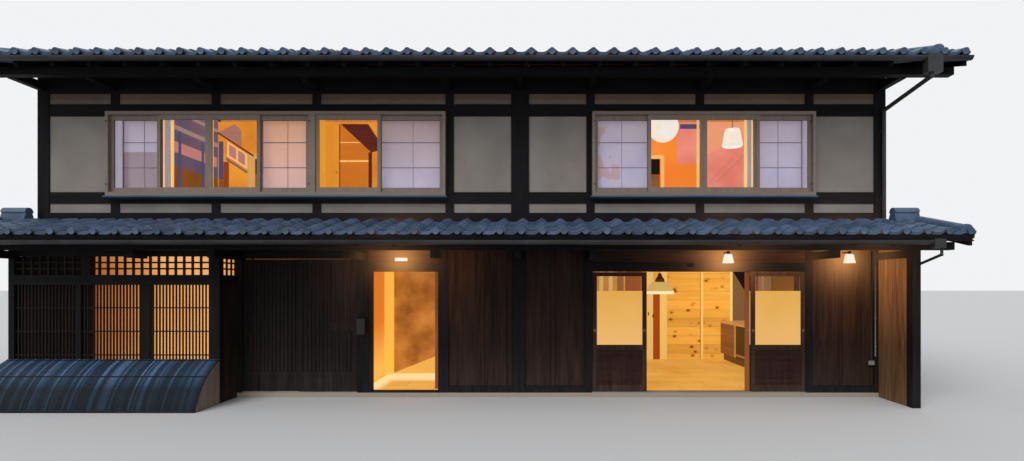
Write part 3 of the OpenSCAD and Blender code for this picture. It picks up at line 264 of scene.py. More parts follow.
def shader(tree, kind, values=None, **settings):
    """Adds a shader node with its settings, and feeds its inputs."""
    made = tree.nodes.new(kind)
    for key, value in settings.items():
        setattr(made, key, value)
    for key, value in (values or {}).items():
        feed(made.inputs[key], value)
    return made


class Value:
    """What one output of a shader node gives."""

    def __init__(self, socket):
        self.socket, self.tree = socket, socket.id_data

    def calc(self, operation, *others):
        return value_of(self.tree, "ShaderNodeMath", dict(enumerate((self, *others))), operation=operation)

    def clipped(self):
        """The same number, kept between 0 and 1."""
        self.socket.node.use_clamp = True
        return self

    def __add__(self, other):
        return self.calc("ADD", other)

    def __sub__(self, other):
        return self.calc("SUBTRACT", other)

    def __rsub__(self, other):
        return self * -1.0 + other

    def __mul__(self, other):
        return self.calc("MULTIPLY", other)

    def __truediv__(self, other):
        return self.calc("DIVIDE", other)

    def __pow__(self, other):
        return self.calc("POWER", other)

    def __gt__(self, other):
        return self.calc("GREATER_THAN", other)

    def __lt__(self, other):
        return self.calc("LESS_THAN", other)

    def __or__(self, other):
        return self.calc("MAXIMUM", other)

    def __abs__(self):
        return self.calc("ABSOLUTE")


def value_of(tree, kind, values=None, result=0, **settings):
    """Adds a shader node and takes one of its outputs."""
    return Value(shader(tree, kind, values, **settings).outputs[result])


def outputs(node):
    """All that a node gives."""
    return [Value(socket) for socket in node.outputs]


def between(value, low, high):
    """1 where a value lies between two limits."""
    return (value > low) * (value < high)


def mix(mask, a, b, kind="MIX"):
    """Blends two colours by a mask; each of the three is a value or a constant."""
    tree = next(part.tree for part in (mask, a, b) if isinstance(part, Value))
    return value_of(tree, "ShaderNodeMix", {0: mask, 6: a, 7: b}, 2, data_type="RGBA", blend_type=kind)


def multiply(a, b):
    return mix(1.0, a, b, "MULTIPLY")


def shade(colour, value):
    """Multiplies a colour by a number or a value."""
    if isinstance(value, float):
        return multiply(colour, (value, value, value))
    return multiply(colour, value_of(value.tree, "ShaderNodeCombineColor", {0: value, 1: value, 2: value}))


def ramp(value, *stops):
    """A colour ramp; stops are (position, colour)."""
    made = value_of(value.tree, "ShaderNodeValToRGB", {"Fac": value})
    points = made.socket.node.color_ramp.elements
    points[0].position, points[1].position = stops[0][0], stops[-1][0]
    points[0].color, points[1].color = (*stops[0][1], 1), (*stops[-1][1], 1)
    for position, colour in stops[1:-1]:
        points.new(position).color = (*colour, 1)
    return made


def stripes(value, colour, bands):
    """Lays flat colours over a colour; bands are (low, high, colour) along a value."""
    for low, high, flat in bands:
        colour = mix(between(value, low, high), colour, flat)
    return colour


def mapped(vector, scale=(1, 1, 1), turn=(0, 0, 0)):
    return value_of(vector.tree, "ShaderNodeMapping", {"Vector": vector, "Scale": scale, "Rotation": turn})


def axes_of(vector):
    return outputs(shader(vector.tree, "ShaderNodeSeparateXYZ", {"Vector": vector}))


def noise(vector, scale, detail, roughness, distortion=0.0):
    return value_of(vector.tree, "ShaderNodeTexNoise", {"Vector": vector, "Scale": scale, "Detail": detail,
                                                        "Roughness": roughness, "Distortion": distortion}, "Fac")


def distance(vector, point):
    return value_of(vector.tree, "ShaderNodeVectorMath", {0: vector, 1: point}, "Value", operation="DISTANCE")


def board_joints(at, pitch, line=0.0025):
    """Joints between boards of one width along a value, and a tone for each board."""
    joint = at.calc("PINGPONG", pitch / 2) < line
    return joint, value_of(at.tree, "ShaderNodeTexWhiteNoise", {"W": (at / pitch).calc("FLOOR")}, "Value",
                           noise_dimensions="1D")


# %% Finishes
TURNS = {"x": (0, 0, 0), "y": (0, 0, math.radians(90)), "z": (0, math.radians(90), 0)}
BLACK = (0.0, 0.0, 0.0)


class Finish:
    """A material in the making, around a Principled BSDF with its plain values set on its own sockets."""

    def __init__(self, name, **values):
        self.material = bpy.data.materials.new(name)
        self.material.use_nodes = True
        self.tree = self.material.node_tree
        self.tree.nodes.clear()
        self.surface = shader(self.tree, "ShaderNodeBsdfPrincipled")
        output = shader(self.tree, "ShaderNodeOutputMaterial")
        self.tree.links.new(self.surface.outputs["BSDF"], output.inputs["Surface"])
        self.set(**values)

    def set(self, **values):
        for key, value in values.items():
            feed(self.surface.inputs[key.replace("_", " ")], value)

    def place(self, scale=(1, 1, 1), turn=(0, 0, 0)):
        """Object coordinates, scaled and turned."""
        return mapped(value_of(self.tree, "ShaderNodeTexCoord", None, "Object"), scale, turn)

    def axes(self):
        return axes_of(self.place())

    def use(self, group, along="x", **numbers):
        """What a node group gives, with its X along one of the house's axes."""
        vector = self.place(turn=TURNS[along])
        return outputs(shader(self.tree, "ShaderNodeGroup", {"Vector": vector, **numbers}, node_tree=group))

    def glow(self, colour, share, mask=None, outside=None):
        """Lamplight of one colour, with a share of it as the surface's own. A mask leaves it out outside."""
        own = colour if share == 1 else shade(colour, share)
        if mask is not None:
            own, colour = mix(mask, outside, own), mix(mask, BLACK, colour)
        self.set(Base_Color=own, Emission_Color=colour)

    def relief(self, height, strength, distance):
        self.set(Normal=value_of(self.tree, "ShaderNodeBump", {"Strength": strength, "Distance": distance,
                                                               "Height": height}))


def new_group(name, numbers, formula):
    """A node group. A formula takes its vector and its numbers, and gives its outputs by name."""
    tree = bpy.data.node_groups.new(name, "ShaderNodeTree")
    tree.interface.new_socket("Vector", in_out="INPUT", socket_type="NodeSocketVector")
    for label, value in numbers.items():
        tree.interface.new_socket(label, in_out="INPUT", socket_type="NodeSocketFloat").default_value = value
    results = formula(*outputs(tree.nodes.new("NodeGroupInput"))[:1 + len(numbers)])
    for label in results:
        tree.interface.new_socket(label, in_out="OUTPUT", socket_type="NodeSocketFloat")
    shader(tree, "NodeGroupOutput", results)
    print("group", name, "gives", *results)
    return tree


# %% [markdown]
# ## Patterns that several finishes share
#
# Wood grain, weathering and mottling come back in many materials, so each is a node group. Grain is noise
# stretched along one axis, because fibres run the length of a timber. Weathering is what rain does to an outer
# wall: pale splashes near the ground. The three lamps on the front warm the timber round them. An emission
# mask by distance does that, so that the model keeps this light when it is exported.

# %% Node groups
lamp_low, lamp_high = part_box("bracket_lamps")
lamp_x = [(a + b) / 2 for a, b in spans("bracket_lamps", 0)]
lamp_reach = 1.75


def grain_formula(vector, fineness, figure):
    stretched = mapped(vector, (0.06, 1.0, 1.0))
    fibre = noise(stretched, fineness, 6.0, 0.62, 0.15)
    return {"Fibre": fibre, "Height": fibre * 0.7 + noise(stretched, figure, 2.0, 0.5, 1.2) * 0.3}


def splash_formula(vector, reach):
    streaks = noise(mapped(vector, (14.0, 14.0, 0.9)), 1.6, 5.0, 0.6)
    low_down = (1.0 - axes_of(vector)[2] / reach).clipped()
    return {"Splash": (low_down * (streaks * 2.4 - 0.75).clipped()).clipped()}


def mottle_formula(vector, scale):
    return {"Mask": noise(vector, scale, 3.0, 0.55), "Fine": noise(vector, scale * 24.0, 8.0, 0.7)}


def lamp_formula(vector):
    lamps = [(x, lamp_low.y + 0.03, (lamp_low.z + lamp_high.z) / 2) for x in lamp_x]
    near, *others = [(distance(vector, lamp) * (-1 / lamp_reach) + 1.0).clipped() for lamp in lamps]
    glow, hot = near ** 2.2, near ** 12.0
    for near in others:
        glow, hot = glow + near ** 2.2, hot + near ** 12.0
    return {"Glow": glow, "Hot": hot}


grain = new_group("wood_grain", {"Fineness": 9.0, "Figure": 2.0}, grain_formula)
splashes = new_group("weathering", {"Reach": 0.7}, splash_formula)
mottle = new_group("mottling", {"Scale": 3.0}, mottle_formula)
lamp_glow = new_group("lamp_glow", {}, lamp_formula)
print("lamps at x =", [round(x, 3) for x in lamp_x])

# %% [markdown]
# ## Timber
#
# The frame is smoke-dark timber: nearly black in the grooves, brown on worn faces. One function makes the
# finish for each direction that a timber runs in, because its fibres follow the stick it was cut from.

# %% Dark timber
street_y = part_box("floor_beam")[0].y
wall_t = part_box("lintels")[1].y * 2
inner_x = spans("party_walls", 0)[1][0]
inner_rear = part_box("rear_boards")[0].y + 0.004
SEAM = (0.002, 0.002, 0.002)


def boarded(colour, height, at, pitch):
    """A tone for each board of a wall and dark joints between them: gives the colour and the relief."""
    joint, tone = board_joints(at, pitch)
    return mix(joint, shade(colour, tone * 0.5 + 0.75), SEAM), height - joint * 1.5


def dark_timber(name, along, deep, worn, roughness=0.62, fineness=34.0, boards=None, indoors=None):
    """Weathered timber: deep is the colour in the grooves, worn that of the rubbed faces. Boards are the axis
    across them, their width and where one starts; indoors is a lamplit colour for inside the outer walls."""
    finish = Finish(name, Roughness=roughness, Specular_IOR_Level=0.08, Emission_Strength=4.5)
    fibre, height = finish.use(grain, along, Fineness=fineness, Figure=5.0)
    splash, = finish.use(splashes, Reach=0.75)
    glow, hot = finish.use(lamp_glow)
    axes = finish.axes()
    pale = tuple(min(1.0, channel * 2.6 + 0.02) for channel in worn)
    colour, relief = mix(splash * 0.4, ramp(height, (0.32, deep), (0.72, worn)), pale), height
    if boards:
        across, pitch, start = boards
        colour, relief = boarded(colour, height, axes[across] - start, pitch)
    warm = multiply(shade(colour, glow), (1.0, 0.66, 0.40))
    warm = mix(1.0, warm, shade((0.60, 0.26, 0.075), hot), "ADD")
    if indoors:
        inside = between(axes[1], street_y + wall_t, inner_rear) * (abs(axes[0]) < inner_x + 0.004)
        warm = mix(inside, warm, shade(indoors, height * 1.6 + 0.2))
    finish.set(Base_Color=colour, Emission_Color=warm, Roughness=fibre * 0.25 + (roughness - 0.12))
    finish.relief(relief, 0.35, 0.004)
    return finish


sooty = (0.0030, 0.0028, 0.0036), (0.0125, 0.0110, 0.0120)
board_tones = (0.0075, 0.0042, 0.0034), (0.040, 0.021, 0.0145)
board = *board_tones, 0.7, 26.0
lamplit = (0.060, 0.019, 0.005)
timber_up = dark_timber("timber_upright", "z", *sooty)
timber_level = dark_timber("timber_level", "x", *sooty)
boards_up = dark_timber("boards_upright", "z", *board)
door_timber = dark_timber("door_timber", "z", (0.013, 0.007, 0.005), (0.056, 0.029, 0.020), 0.55, 30.0)
panel_timber = dark_timber("panel_timber", "x", (0.009, 0.0038, 0.003), (0.040, 0.0155, 0.0115), 0.5, 30.0)
paint(timber_up, "ground_posts", "corner_posts", "upper_studs", "end_post", "entry_jamb", "bay_frame")
paint(timber_level, "lintels", "floor_beam", "upper_rails", "wall_plates", "eave_purlins", "sill_beams",
      "head_tracks")
paint(boards_up, "bay_base")
paint(dark_timber("timber_across", "y", *sooty), "eave_arms", "pent_roof_frame")
paint(dark_timber("rear_timber", "x", *sooty, indoors=lamplit), "rear_posts", "rear_rails")
paint(dark_timber("roof_timber", "y", *sooty, indoors=(0.115, 0.040, 0.009)), "main_roof_frame")
paint(dark_timber("boards_level", "x", *board), "header_boards")
paint(dark_timber("rear_boarding", "z", *board, (0, 0.24, 0.0), lamplit), "rear_boards")
paint(dark_timber("return_boarding", "z", *board, (1, 0.175, -0.06)), "bay_return")
# Painted lamplight: the end wall's boards are lighter and browner than the other boards.
paint(dark_timber("end_boards", "z", (0.058, 0.029, 0.014), (0.225, 0.118, 0.055), 0.68, 26.0,
                  (1, 0.3105, -0.06)), "end_wall")
paint(dark_timber("entry_boards", "z", *board_tones, 0.6, 30.0, (0, 0.1368, -0.3435)), "entry_door")
paint(dark_timber("skirt_end_boards", "z", (0.09, 0.062, 0.050), (0.20, 0.145, 0.125), 0.75, 26.0),
      "skirt_ends")
paint(dark_timber("lattice_timber", "z", (0.005, 0.0038, 0.0038), (0.024, 0.0165, 0.0150), 0.6, 30.0),
      "bay_lattice_left", "bay_lattice_middle", "bay_lattice_right", "bay_transom", "lattice_door_left",
      "lattice_door_right")
print("finishes so far", len(bpy.data.materials))

# %% [markdown]
# ## Plaster, outside and in
#
# The cream panels are clay and lime, trowelled and never quite even. The same node of the frame also holds the
# inner walls upstairs, and those glow: the lamps in the rooms light them orange on the left and rose on the
# right. A mask on depth tells inside from outside, and the glow is an emission colour, because an exported
# model keeps that while it loses lamps.

# %% Plaster
back_y = spans("plaster_panels", 1, lambda middle: abs(middle.x) > 3 and 1 < middle.y < 5)[0][0]
rear_inner_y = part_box("rear_plaster")[0].y + 0.003
partition_x = spans("plaster_panels", 0, lambda middle: 1 < middle.y < 4)[0][1] - 0.002
rose_from_x, all_rose_x, rose_from_z = 4.08, 4.6, 4.17

plaster = Finish("plaster", Roughness=0.9, Specular_IOR_Level=0.1, Emission_Strength=0.9)
x, y, z = plaster.axes()
uneven, fine = plaster.use(mottle, Scale=1.3)
cream = ramp(uneven, (0.35, (0.21, 0.185, 0.165)), (0.7, (0.285, 0.255, 0.225)))
# Painted shade: the outer plaster turns darker and browner near the top of the wall, under the eaves.
eave_shade = ramp(z / 5.0, (0.80, (1, 1, 1)), (0.835, (0.5, 0.4, 0.32)))
amber = ramp(uneven, (0.3, (0.66, 0.20, 0.015)), (0.75, (0.90, 0.36, 0.035)))
orange = ramp(uneven, (0.3, (0.90, 0.21, 0.02)), (0.75, (1.00, 0.30, 0.04)))
rose = ramp(uneven, (0.3, (0.76, 0.20, 0.14)), (0.75, (0.92, 0.33, 0.24)))
sloping_light = (x > all_rose_x) * (x * -0.52 + z > 1.92)
rose = mix(sloping_light * 0.8, rose, (0.86, 0.36, 0.16))
rosy = (x > all_rose_x) | (x > rose_from_x) * (z > rose_from_z)
rooms = mix(x > partition_x, amber, mix(rosy, orange, rose))
# Painted lamplight: the glow is dimmer and browner in the rooms beyond the back wall of the upper rooms.
rooms = mix(y > back_y + 0.2, rooms, (0.20, 0.075, 0.025))
plaster.glow(rooms, 0.4, between(y, 0.1, rear_inner_y), multiply(cream, eave_shade))
plaster.relief(fine, 0.25, 0.004)
paint(plaster, "plaster_panels", "rear_plaster")
print("street wall at", round(street_y, 3), "back wall of the upper rooms at", round(back_y, 3))

# %% Party walls
# Outside they are plain upright boards. Their inner faces upstairs show at a slant through the left windows, and
# glow with painted lamplight as an emission colour: orange below a height and blue-violet above it.
colour_split_z = 3.83
party = Finish("party_walls", Roughness=0.7, Specular_IOR_Level=0.3, Emission_Strength=0.5)
x, y, z = party.axes()
uneven, fine = party.use(mottle, Scale=1.3)
fibre, height = party.use(grain, "z", Fineness=26.0, Figure=5.0)
boards, relief = boarded(ramp(height, (0.32, board_tones[0]), (0.72, board_tones[1])), height, y - 0.06, 0.24)
lower_glow = ramp(uneven, (0.3, (0.20, 0.075, 0.006)), (0.75, (0.32, 0.13, 0.015)))
above = ramp(uneven, (0.3, (0.095, 0.095, 0.20)), (0.75, (0.20, 0.145, 0.20)))
party.glow(mix(z > colour_split_z, lower_glow, above), 1, abs(x) < inner_x + 0.004, boards)
party.relief(relief, 0.35, 0.004)
paint(party, "party_walls")
print("inner faces at x =", round(inner_x, 3))

# %% [markdown]
# ## Pale window timber, glass and paper
#
# The window frames were renewed in clean, pale wood. The panes are clear and thin. Behind five of them stand
# paper screens, which take a violet tint from the evening and a little warmth from the room. The screen's
# sheet and its bars are one node, so a mask on depth finds the sheet.

# %% Pale timber, glass and screens


def pale_timber(name, along):
    finish = Finish(name, Roughness=0.5, Specular_IOR_Level=0.4)
    fibre, height = finish.use(grain, along, Fineness=40.0, Figure=6.0)
    finish.set(Base_Color=ramp(height, (0.3, (0.15, 0.108, 0.083)), (0.75, (0.24, 0.185, 0.15))))
    finish.relief(height, 0.15, 0.002)
    return finish


paint(pale_timber("pale_timber", "z"), "window_sashes", "rear_windows")
paint(pale_timber("pale_timber_level", "x"), "window_frames", "upper_floor")
clear_glass = Finish("clear_glass", Base_Color=(0.93, 0.97, 1.0), Roughness=0.02, Specular_IOR_Level=0.2,
                     IOR=1.12, Transmission_Weight=1.0, Metallic=0.0)
paint(clear_glass, "window_glass")

screen_paper = Finish("screen_paper", Roughness=0.85, Specular_IOR_Level=0.2, Emission_Strength=0.32)
x, y, z = screen_paper.axes()
uneven, fine = screen_paper.use(mottle, Scale=2.2)
sill_z, head_z = [corner.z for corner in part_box("paper_screens")]
sheet_y, sheet_half_t = 0.013, 0.0016
up = (z - sill_z) / (head_z - sill_z)
# Painted light: the violet of the paper is evening light, and the masks lay the rooms' lamplight over it: warmer
# towards the top, an orange patch on one screen, a warm rise up another. They also lay a brownish lower part at
# the far left and brownish blotches on one screen. The sheet glows with all this as an emission colour.
paper = ramp(uneven, (0.3, (0.44, 0.38, 0.50)), (0.7, (0.56, 0.47, 0.56)))
for mask, colour in (((up ** 2.0).clipped() * 0.55, (0.60, 0.44, 0.43)),
                     (between(x, -2.9, -2.0) * (up * 0.45 + 0.5), (0.92, 0.43, 0.24)),
                     (between(x, 1.8, 2.65) * (x * -0.5 + uneven > -0.55) * 0.6, (0.50, 0.25, 0.20)),
                     ((x < -4.1) * (z < 3.44) * 0.75, (0.29, 0.19, 0.19)),
                     (between(x, -1.2, -0.2) * up * 0.7, (0.46, 0.27, 0.22))):
    paper = mix(mask, paper, colour)
screen_paper.glow(paper, 1, abs(y - sheet_y) < sheet_half_t, (0.30, 0.24, 0.27))
paint(screen_paper, "paper_screens")

lit_paper = Finish("lit_paper", Roughness=0.8, Emission_Strength=0.9)
bay_low, bay_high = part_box("bay_screen")
uneven, fine = lit_paper.use(mottle, Scale=0.9)
along_bay = (lit_paper.axes()[0] - bay_low.x) / (bay_high.x - bay_low.x)
lamp_light = ramp(along_bay, (0.02, (0.45, 0.30, 0.26)), (0.40, (0.80, 0.72, 0.68)), (0.55, (1.0, 1.0, 1.0)))
lit_paper.glow(multiply(ramp(uneven, (0.25, (0.80, 0.33, 0.07)), (0.75, (0.98, 0.52, 0.16))), lamp_light), 0.5)
paint(lit_paper, "bay_screen")
print("finishes so far", len(bpy.data.materials))

# %% [markdown]
# ## Metal and stone
#
# Gutters and pipes are dark coated steel with a chalky bloom. The ledge under the windows is sheet metal whose
# blue-grey colour is a painted reflection of the sky. The slab is worn stone at the street, and inside, pale
# slabs that glow orange with painted lamplight, brightest in a pool on the floor of the hall.

# %% Metal and stone


def coated(name, low, high, roughness, metallic=0.0):
    """Coated sheet or dressed stone, in two tones."""
    finish = Finish(name, Metallic=metallic, Specular_IOR_Level=0.2, Coat_Weight=0.05, Coat_Roughness=0.4)
    uneven, fine = finish.use(mottle, Scale=2.0)
    finish.set(Base_Color=ramp(uneven, (0.3, low), (0.75, high)), Roughness=fine * 0.3 + (roughness - 0.15))
    finish.relief(fine, 0.08, 0.002)
    return finish


box_metal = coated("box_metal", (0.012, 0.011, 0.010), (0.028, 0.025, 0.023), 0.4)
brass = coated("brass", (0.30, 0.20, 0.09), (0.45, 0.31, 0.15), 0.4, 0.8)
track_stone = coated("track_stone", (0.20, 0.18, 0.155), (0.33, 0.30, 0.26), 0.6)
paint(box_metal, "post_box")
paint(track_stone, "door_tracks")
paint(coated("gutter_metal", (0.020, 0.020, 0.021), (0.045, 0.046, 0.050), 0.45), "gutters", "downpipes")
# Painted reflection: the ledge's blue-grey stands in for the sky mirrored in the sheet.
paint(coated("ledge_metal", (0.030, 0.070, 0.120), (0.055, 0.105, 0.165), 0.5), "sill_flashing")

stone = Finish("floor_slab", Specular_IOR_Level=0.15, Emission_Strength=0.75)
x, y, z = stone.axes()
uneven, fine = stone.use(mottle, Scale=0.8)
joints = value_of(stone.tree, "ShaderNodeTexBrick", {
    "Vector": stone.place(), "Scale": 1.0, "Mortar Size": 0.004, "Mortar Smooth": 0.3, "Brick Width": 0.9,
    "Row Height": 0.45, "Color1": (1, 1, 1), "Color2": (0.86, 0.86, 0.86), "Mortar": (0.45, 0.42, 0.38)})
# Painted lamplight: inside, the slabs glow orange as an emission colour, brightest in a pool on the floor of the
# hall.
slabs = multiply(ramp(uneven, (0.3, (0.74, 0.33, 0.045)), (0.72, (0.92, 0.50, 0.10))), joints)
pool = between(x, -1.46, 0.7) * ((y * 3.0 - 2.5).clipped() | (x * -7.0 - 8.2).clipped())
indoors = between(y, street_y + wall_t, rear_inner_y) * (abs(x) < inner_x + 0.01)
stone.glow(mix(pool, slabs, (1.0, 0.80, 0.42)), 0.5, indoors, (0.35, 0.30, 0.24))
stone.set(Roughness=fine * 0.3 + 0.35)
stone.relief(fine, 0.1, 0.002)
paint(stone, "ground_floor")
print("finishes so far", len(bpy.data.materials))

# %% [markdown]
# ## Clay tiles
#
# The tiles are smoked clay: blue-grey, each fired a little darker or lighter than its neighbour, with a soft
# sheen. Each loose part of a mesh has a random number, which gives a tile its own shade.
# The ridge and the verges are single bodies in the frame, so their joints are drawn.

# %% Clay
ridge_y = sum(corner.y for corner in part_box("main_roof_tiles")) / 2


def own_shade(colour, spread, least, rarity=1.0):
    """Multiplies a colour by a number of each loose part's own; a high rarity leaves few light ones."""
    share = value_of(colour.tree, "ShaderNodeNewGeometry", None, "Random Per Island")
    return shade(colour, share ** rarity * spread + least)


def clay(name):
    """Smoked clay: gives the finish, its colour and its fine relief."""
    finish = Finish(name, Specular_IOR_Level=0.35, Coat_Weight=0.08, Coat_Roughness=0.45)
    uneven, fine = finish.use(mottle, Scale=4.0)
    finish.set(Roughness=fine * 0.3 + 0.36)
    return finish, ramp(uneven, (0.25, (0.042, 0.074, 0.130)), (0.75, (0.090, 0.140, 0.225))), fine


tile_clay, colour, fine = clay("tile_clay")
tile_clay.set(Base_Color=own_shade(colour, 0.55, 0.72))
tile_clay.relief(fine, 0.3, 0.004)
paint(tile_clay, "main_roof_tiles", "pent_roof_tiles")
ridge_clay, colour, fine = clay("ridge_clay")
x, y, z = ridge_clay.axes()
on_ridge = abs(y - ridge_y) < 0.2
joint = (on_ridge * x + (1.0 - on_ridge) * y).calc("PINGPONG", 0.15) < 0.004
ridge_clay.set(Base_Color=mix(joint * 0.7, colour, (0.03, 0.035, 0.04)))
ridge_clay.relief(fine * 0.2 - joint, 0.3, 0.004)
paint(ridge_clay, "roof_ridge")
print("ridge at y =", round(ridge_y, 3))

# %% [markdown]
# ## What shows through the doorways
#
# The shop is lined with knotty pine boards laid level, and the hall beyond the small doorway has gold-brown
# plaster, a side wall and one bright post. All of it glows with painted lamplight, an emission colour: orange on
# the side wall, brighter low on the hall's plaster and near the back of the shop. They share a node, so masks on
# place choose the finish.
# Knots come from the cells of a Voronoi pattern: each cell's middle is the heart of a branch.

# %% Inner walls and counter


def pine_boards(finish, board_h, deep, light):
    """Knotty pine in level boards: gives its colour and its relief."""
    fibre, height = finish.use(grain, Fineness=26.0, Figure=4.0)
    cells = value_of(finish.tree, "ShaderNodeTexVoronoi", {"Vector": finish.place((4.6, 0.0, 6.2)), "Scale": 1.0},
                     "Distance")
    knots = ramp(cells, (0.07, (0.14, 0.06, 0.025)), (0.12, (0.62, 0.48, 0.36)), (0.3, (1.0, 1.0, 1.0)))
    seam, tone = board_joints(finish.axes()[2], board_h, 0.003)
    colour = shade(multiply(ramp(height, (0.3, deep), (0.72, light)), knots), tone * 0.25 + 0.86)
    return shade(colour, seam * -0.45 + 1.0), 1.0 - seam


room_split_x = 1.5
hall_side_x, hall_post_x = -1.505, -1.372
near_door_x, pine_from, pine_joint, pine_to = 3.28, 3.70, 4.384, 5.03
door_h = 1.56
near_end = [(2.33, 2.41, (1.0, 0.60, 0.18)), (2.52, 2.60, (1.0, 0.60, 0.18)), (2.69, 2.82, (0.40, 0.15, 0.035)),
            (2.853, 3.177, (0.42, 0.10, 0.02))]
joinery = [(near_door_x, 3.42, (1.0, 0.60, 0.17)), (3.557, pine_from, (1.0, 0.62, 0.16)),
           (pine_joint - 0.012, pine_joint, (0.30, 0.12, 0.02)),
           (pine_joint, pine_joint + 0.05, (1.0, 0.62, 0.14)),
           (pine_to - 0.05, pine_to, (1.0, 0.66, 0.20)), (pine_to, 9.0, (0.22, 0.115, 0.045))]
far_end = [(5.40, 9.0, (0.34, 0.145, 0.055)), (5.51, 5.54, (0.20, 0.03, 0.01)),
           (5.62, 5.66, (0.46, 0.22, 0.08))]

walls = Finish("inner_walls", Roughness=0.6, Specular_IOR_Level=0.1, Emission_Strength=0.8)
pine, relief = pine_boards(walls, 0.18, (0.86, 0.33, 0.035), (1.0, 0.52, 0.085))
x, y, z = walls.axes()
uneven, fine = walls.use(mottle, Scale=2.4)
gold_wall = ramp(uneven, (0.3, (0.27, 0.085, 0.013)), (0.7, (0.62, 0.24, 0.045)))
# Painted lamplight: a brighter yellow patch low on the hall's plaster, below a sloping edge.
gold_wall = mix((x * -0.4 + z < 0.62) * 0.8, gold_wall, (0.90, 0.50, 0.10))
# Painted lamplight: the hall's side wall is lit orange, brighter low down and redder high up.
side_wall = ramp(z, (0.25, (0.95, 0.48, 0.09)), (0.95, (0.74, 0.20, 0.025)))
hall = stripes(x, gold_wall, [(-9.0, hall_side_x, side_wall), (hall_side_x, hall_post_x, (1.0, 0.52, 0.075))])
lit_wall = ramp(uneven, (0.3, (0.72, 0.24, 0.035)), (0.7, (0.92, 0.40, 0.08)))
shop = stripes(x, mix(x < near_door_x, pine, lit_wall), near_end + joinery)
shop = mix(between(x, 3.42, 3.557) * (z < door_h), shop, (0.42, 0.075, 0.012))
shop = mix((x > pine_to) * (x * 1.638 + z > 10.09), shop, (0.012, 0.008, 0.006))
# Painted lamplight: the shop's walls are brighter near a point on the back wall and darker away from it.
shop = shade(stripes(x, shop, far_end), distance(walls.place(), (4.75, 3.59, 1.62)) * -0.16 + 1.12)
# The inner walls glow with this painted lamplight as an emission colour.
walls.glow(mix(x > room_split_x, hall, shop), 0.45)
walls.relief(relief, 0.3, 0.003)
paint(walls, "pine_wall")

counter = Finish("counter", Roughness=0.4, Specular_IOR_Level=0.4, Emission_Strength=0.4)
low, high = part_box("counter")
post_y, plank_z, toe_shade_z = high.y - 0.89, high.z - 0.042, 0.2
side, relief = pine_boards(counter, 0.09, (0.17, 0.055, 0.020), (0.30, 0.105, 0.035))
x, y, z = counter.axes()
shelves = mix(between(z, 0.235, 0.275), (0.010, 0.007, 0.005), (0.36, 0.20, 0.07))
body = stripes(y, mix(y < post_y, side, shelves), [(post_y, post_y + 0.1, (0.62, 0.30, 0.07))])
# Painted shade: the counter's lowest part is dark brown, standing in for the shade in its toe recess. The whole
# counter glows with painted lamplight as an emission colour.
body = mix(z < toe_shade_z, mix(z > plank_z, body, (0.80, 0.40, 0.12)), (0.10, 0.035, 0.012))
counter.glow(body, 0.6)
counter.relief(relief, 0.3, 0.002)
paint(counter, "counter")
print("pine from", pine_from, "to", pine_to, "counter", [round(value, 3) for value in (*low, *high)])

# %% [markdown]
# ## Lamps and bamboo
#
# The lamp shades are opal: they glow a warm white that stays below pure white, so their form still shows. A
# mask on height leaves the arms of the wall lamps dark. The bamboo is lighter and bluer where it lies flat, as
# painted sky light, and darker below, as painted shade; a few slats are much paler than the rest.

# %% Lamp glass and bamboo
arm_from_z = 1.992
bracket_glass = Finish("bracket_glass", Roughness=0.25, Coat_Weight=0.3, Emission_Strength=0.8)
x, y, z = bracket_glass.axes()
bracket_glass.glow((0.92, 0.86, 0.72), 1, (x < 0.0) | (z < arm_from_z), (0.02, 0.019, 0.018))
paint(bracket_glass, "bracket_lamps")


def shade_glass(name, colour, strength):
    """Opal glass or paper with a lamp in it, a little uneven."""
    finish = Finish(name, Roughness=0.4, Specular_IOR_Level=0.2, Emission_Strength=strength)
    finish.glow(shade(colour, finish.use(mottle, Scale=6.0)[0] * 0.2 + 0.88), 0.6)
    return finish


white_shade = shade_glass("white_shade", (0.98, 0.92, 0.80), 0.82)
shop_shade = shade_glass("shop_shade", (0.66, 0.42, 0.13), 0.85)
shop_rim = shade_glass("shop_rim", (0.98, 0.84, 0.50), 0.85)

bamboo = Finish("bamboo", Roughness=0.5, Specular_IOR_Level=0.1)
fibre, height = bamboo.use(grain, "y", Fineness=60.0, Figure=40.0)
# Painted light: the flat upper part of the skirt is lighter and bluer as sky light, and the lower part darker as
# shade.
sky_lit = ramp(height, (0.3, (0.022, 0.042, 0.078)), (0.75, (0.050, 0.088, 0.145)))
shaded = ramp(height, (0.3, (0.003, 0.008, 0.014)), (0.75, (0.010, 0.022, 0.036)))
flat_part = ramp(bamboo.axes()[2], (0.26, (0, 0, 0)), (0.42, (1, 1, 1)))
bamboo.set(Base_Color=own_shade(mix(flat_part, shaded, sky_lit), 1.9, 0.55, 3.0))
bamboo.relief(height, 0.3, 0.003)
paint(bamboo, "bamboo_skirt")
print("finishes so far", len(bpy.data.materials))

# %% [markdown]
# ## Roof tiles
#
# A pantile is a broad shallow pan with a roll at one side that covers its neighbour's edge, so one shape keeps
# the rain out. Each course rests on the one below it, which lifts its front. The tile at the eave ends in a
# lip and a round disc. One tile of each kind is modelled and then repeated over the slope, and the slopes take
# their lines from the frame's plain tile layers.

# %% One tile
side_lap, head_lap = 0.024, 0.06
tile_t, tile_columns = 0.015, 14
course_lift, lip = 0.022, 0.036
pan_depth, roll_top, crest_share = -0.002, 0.050, 0.80
disc_r, disc_h = 0.041, 0.030
street_half = 3.9


def tile_height(x, pitch):
    """Height of a tile across its width: a broad pan, then the roll."""
    share = (1 + math.cos(2 * math.pi * (x / pitch - crest_share))) / 2
    return pan_depth + (roll_top - pan_depth) * share ** 1.7


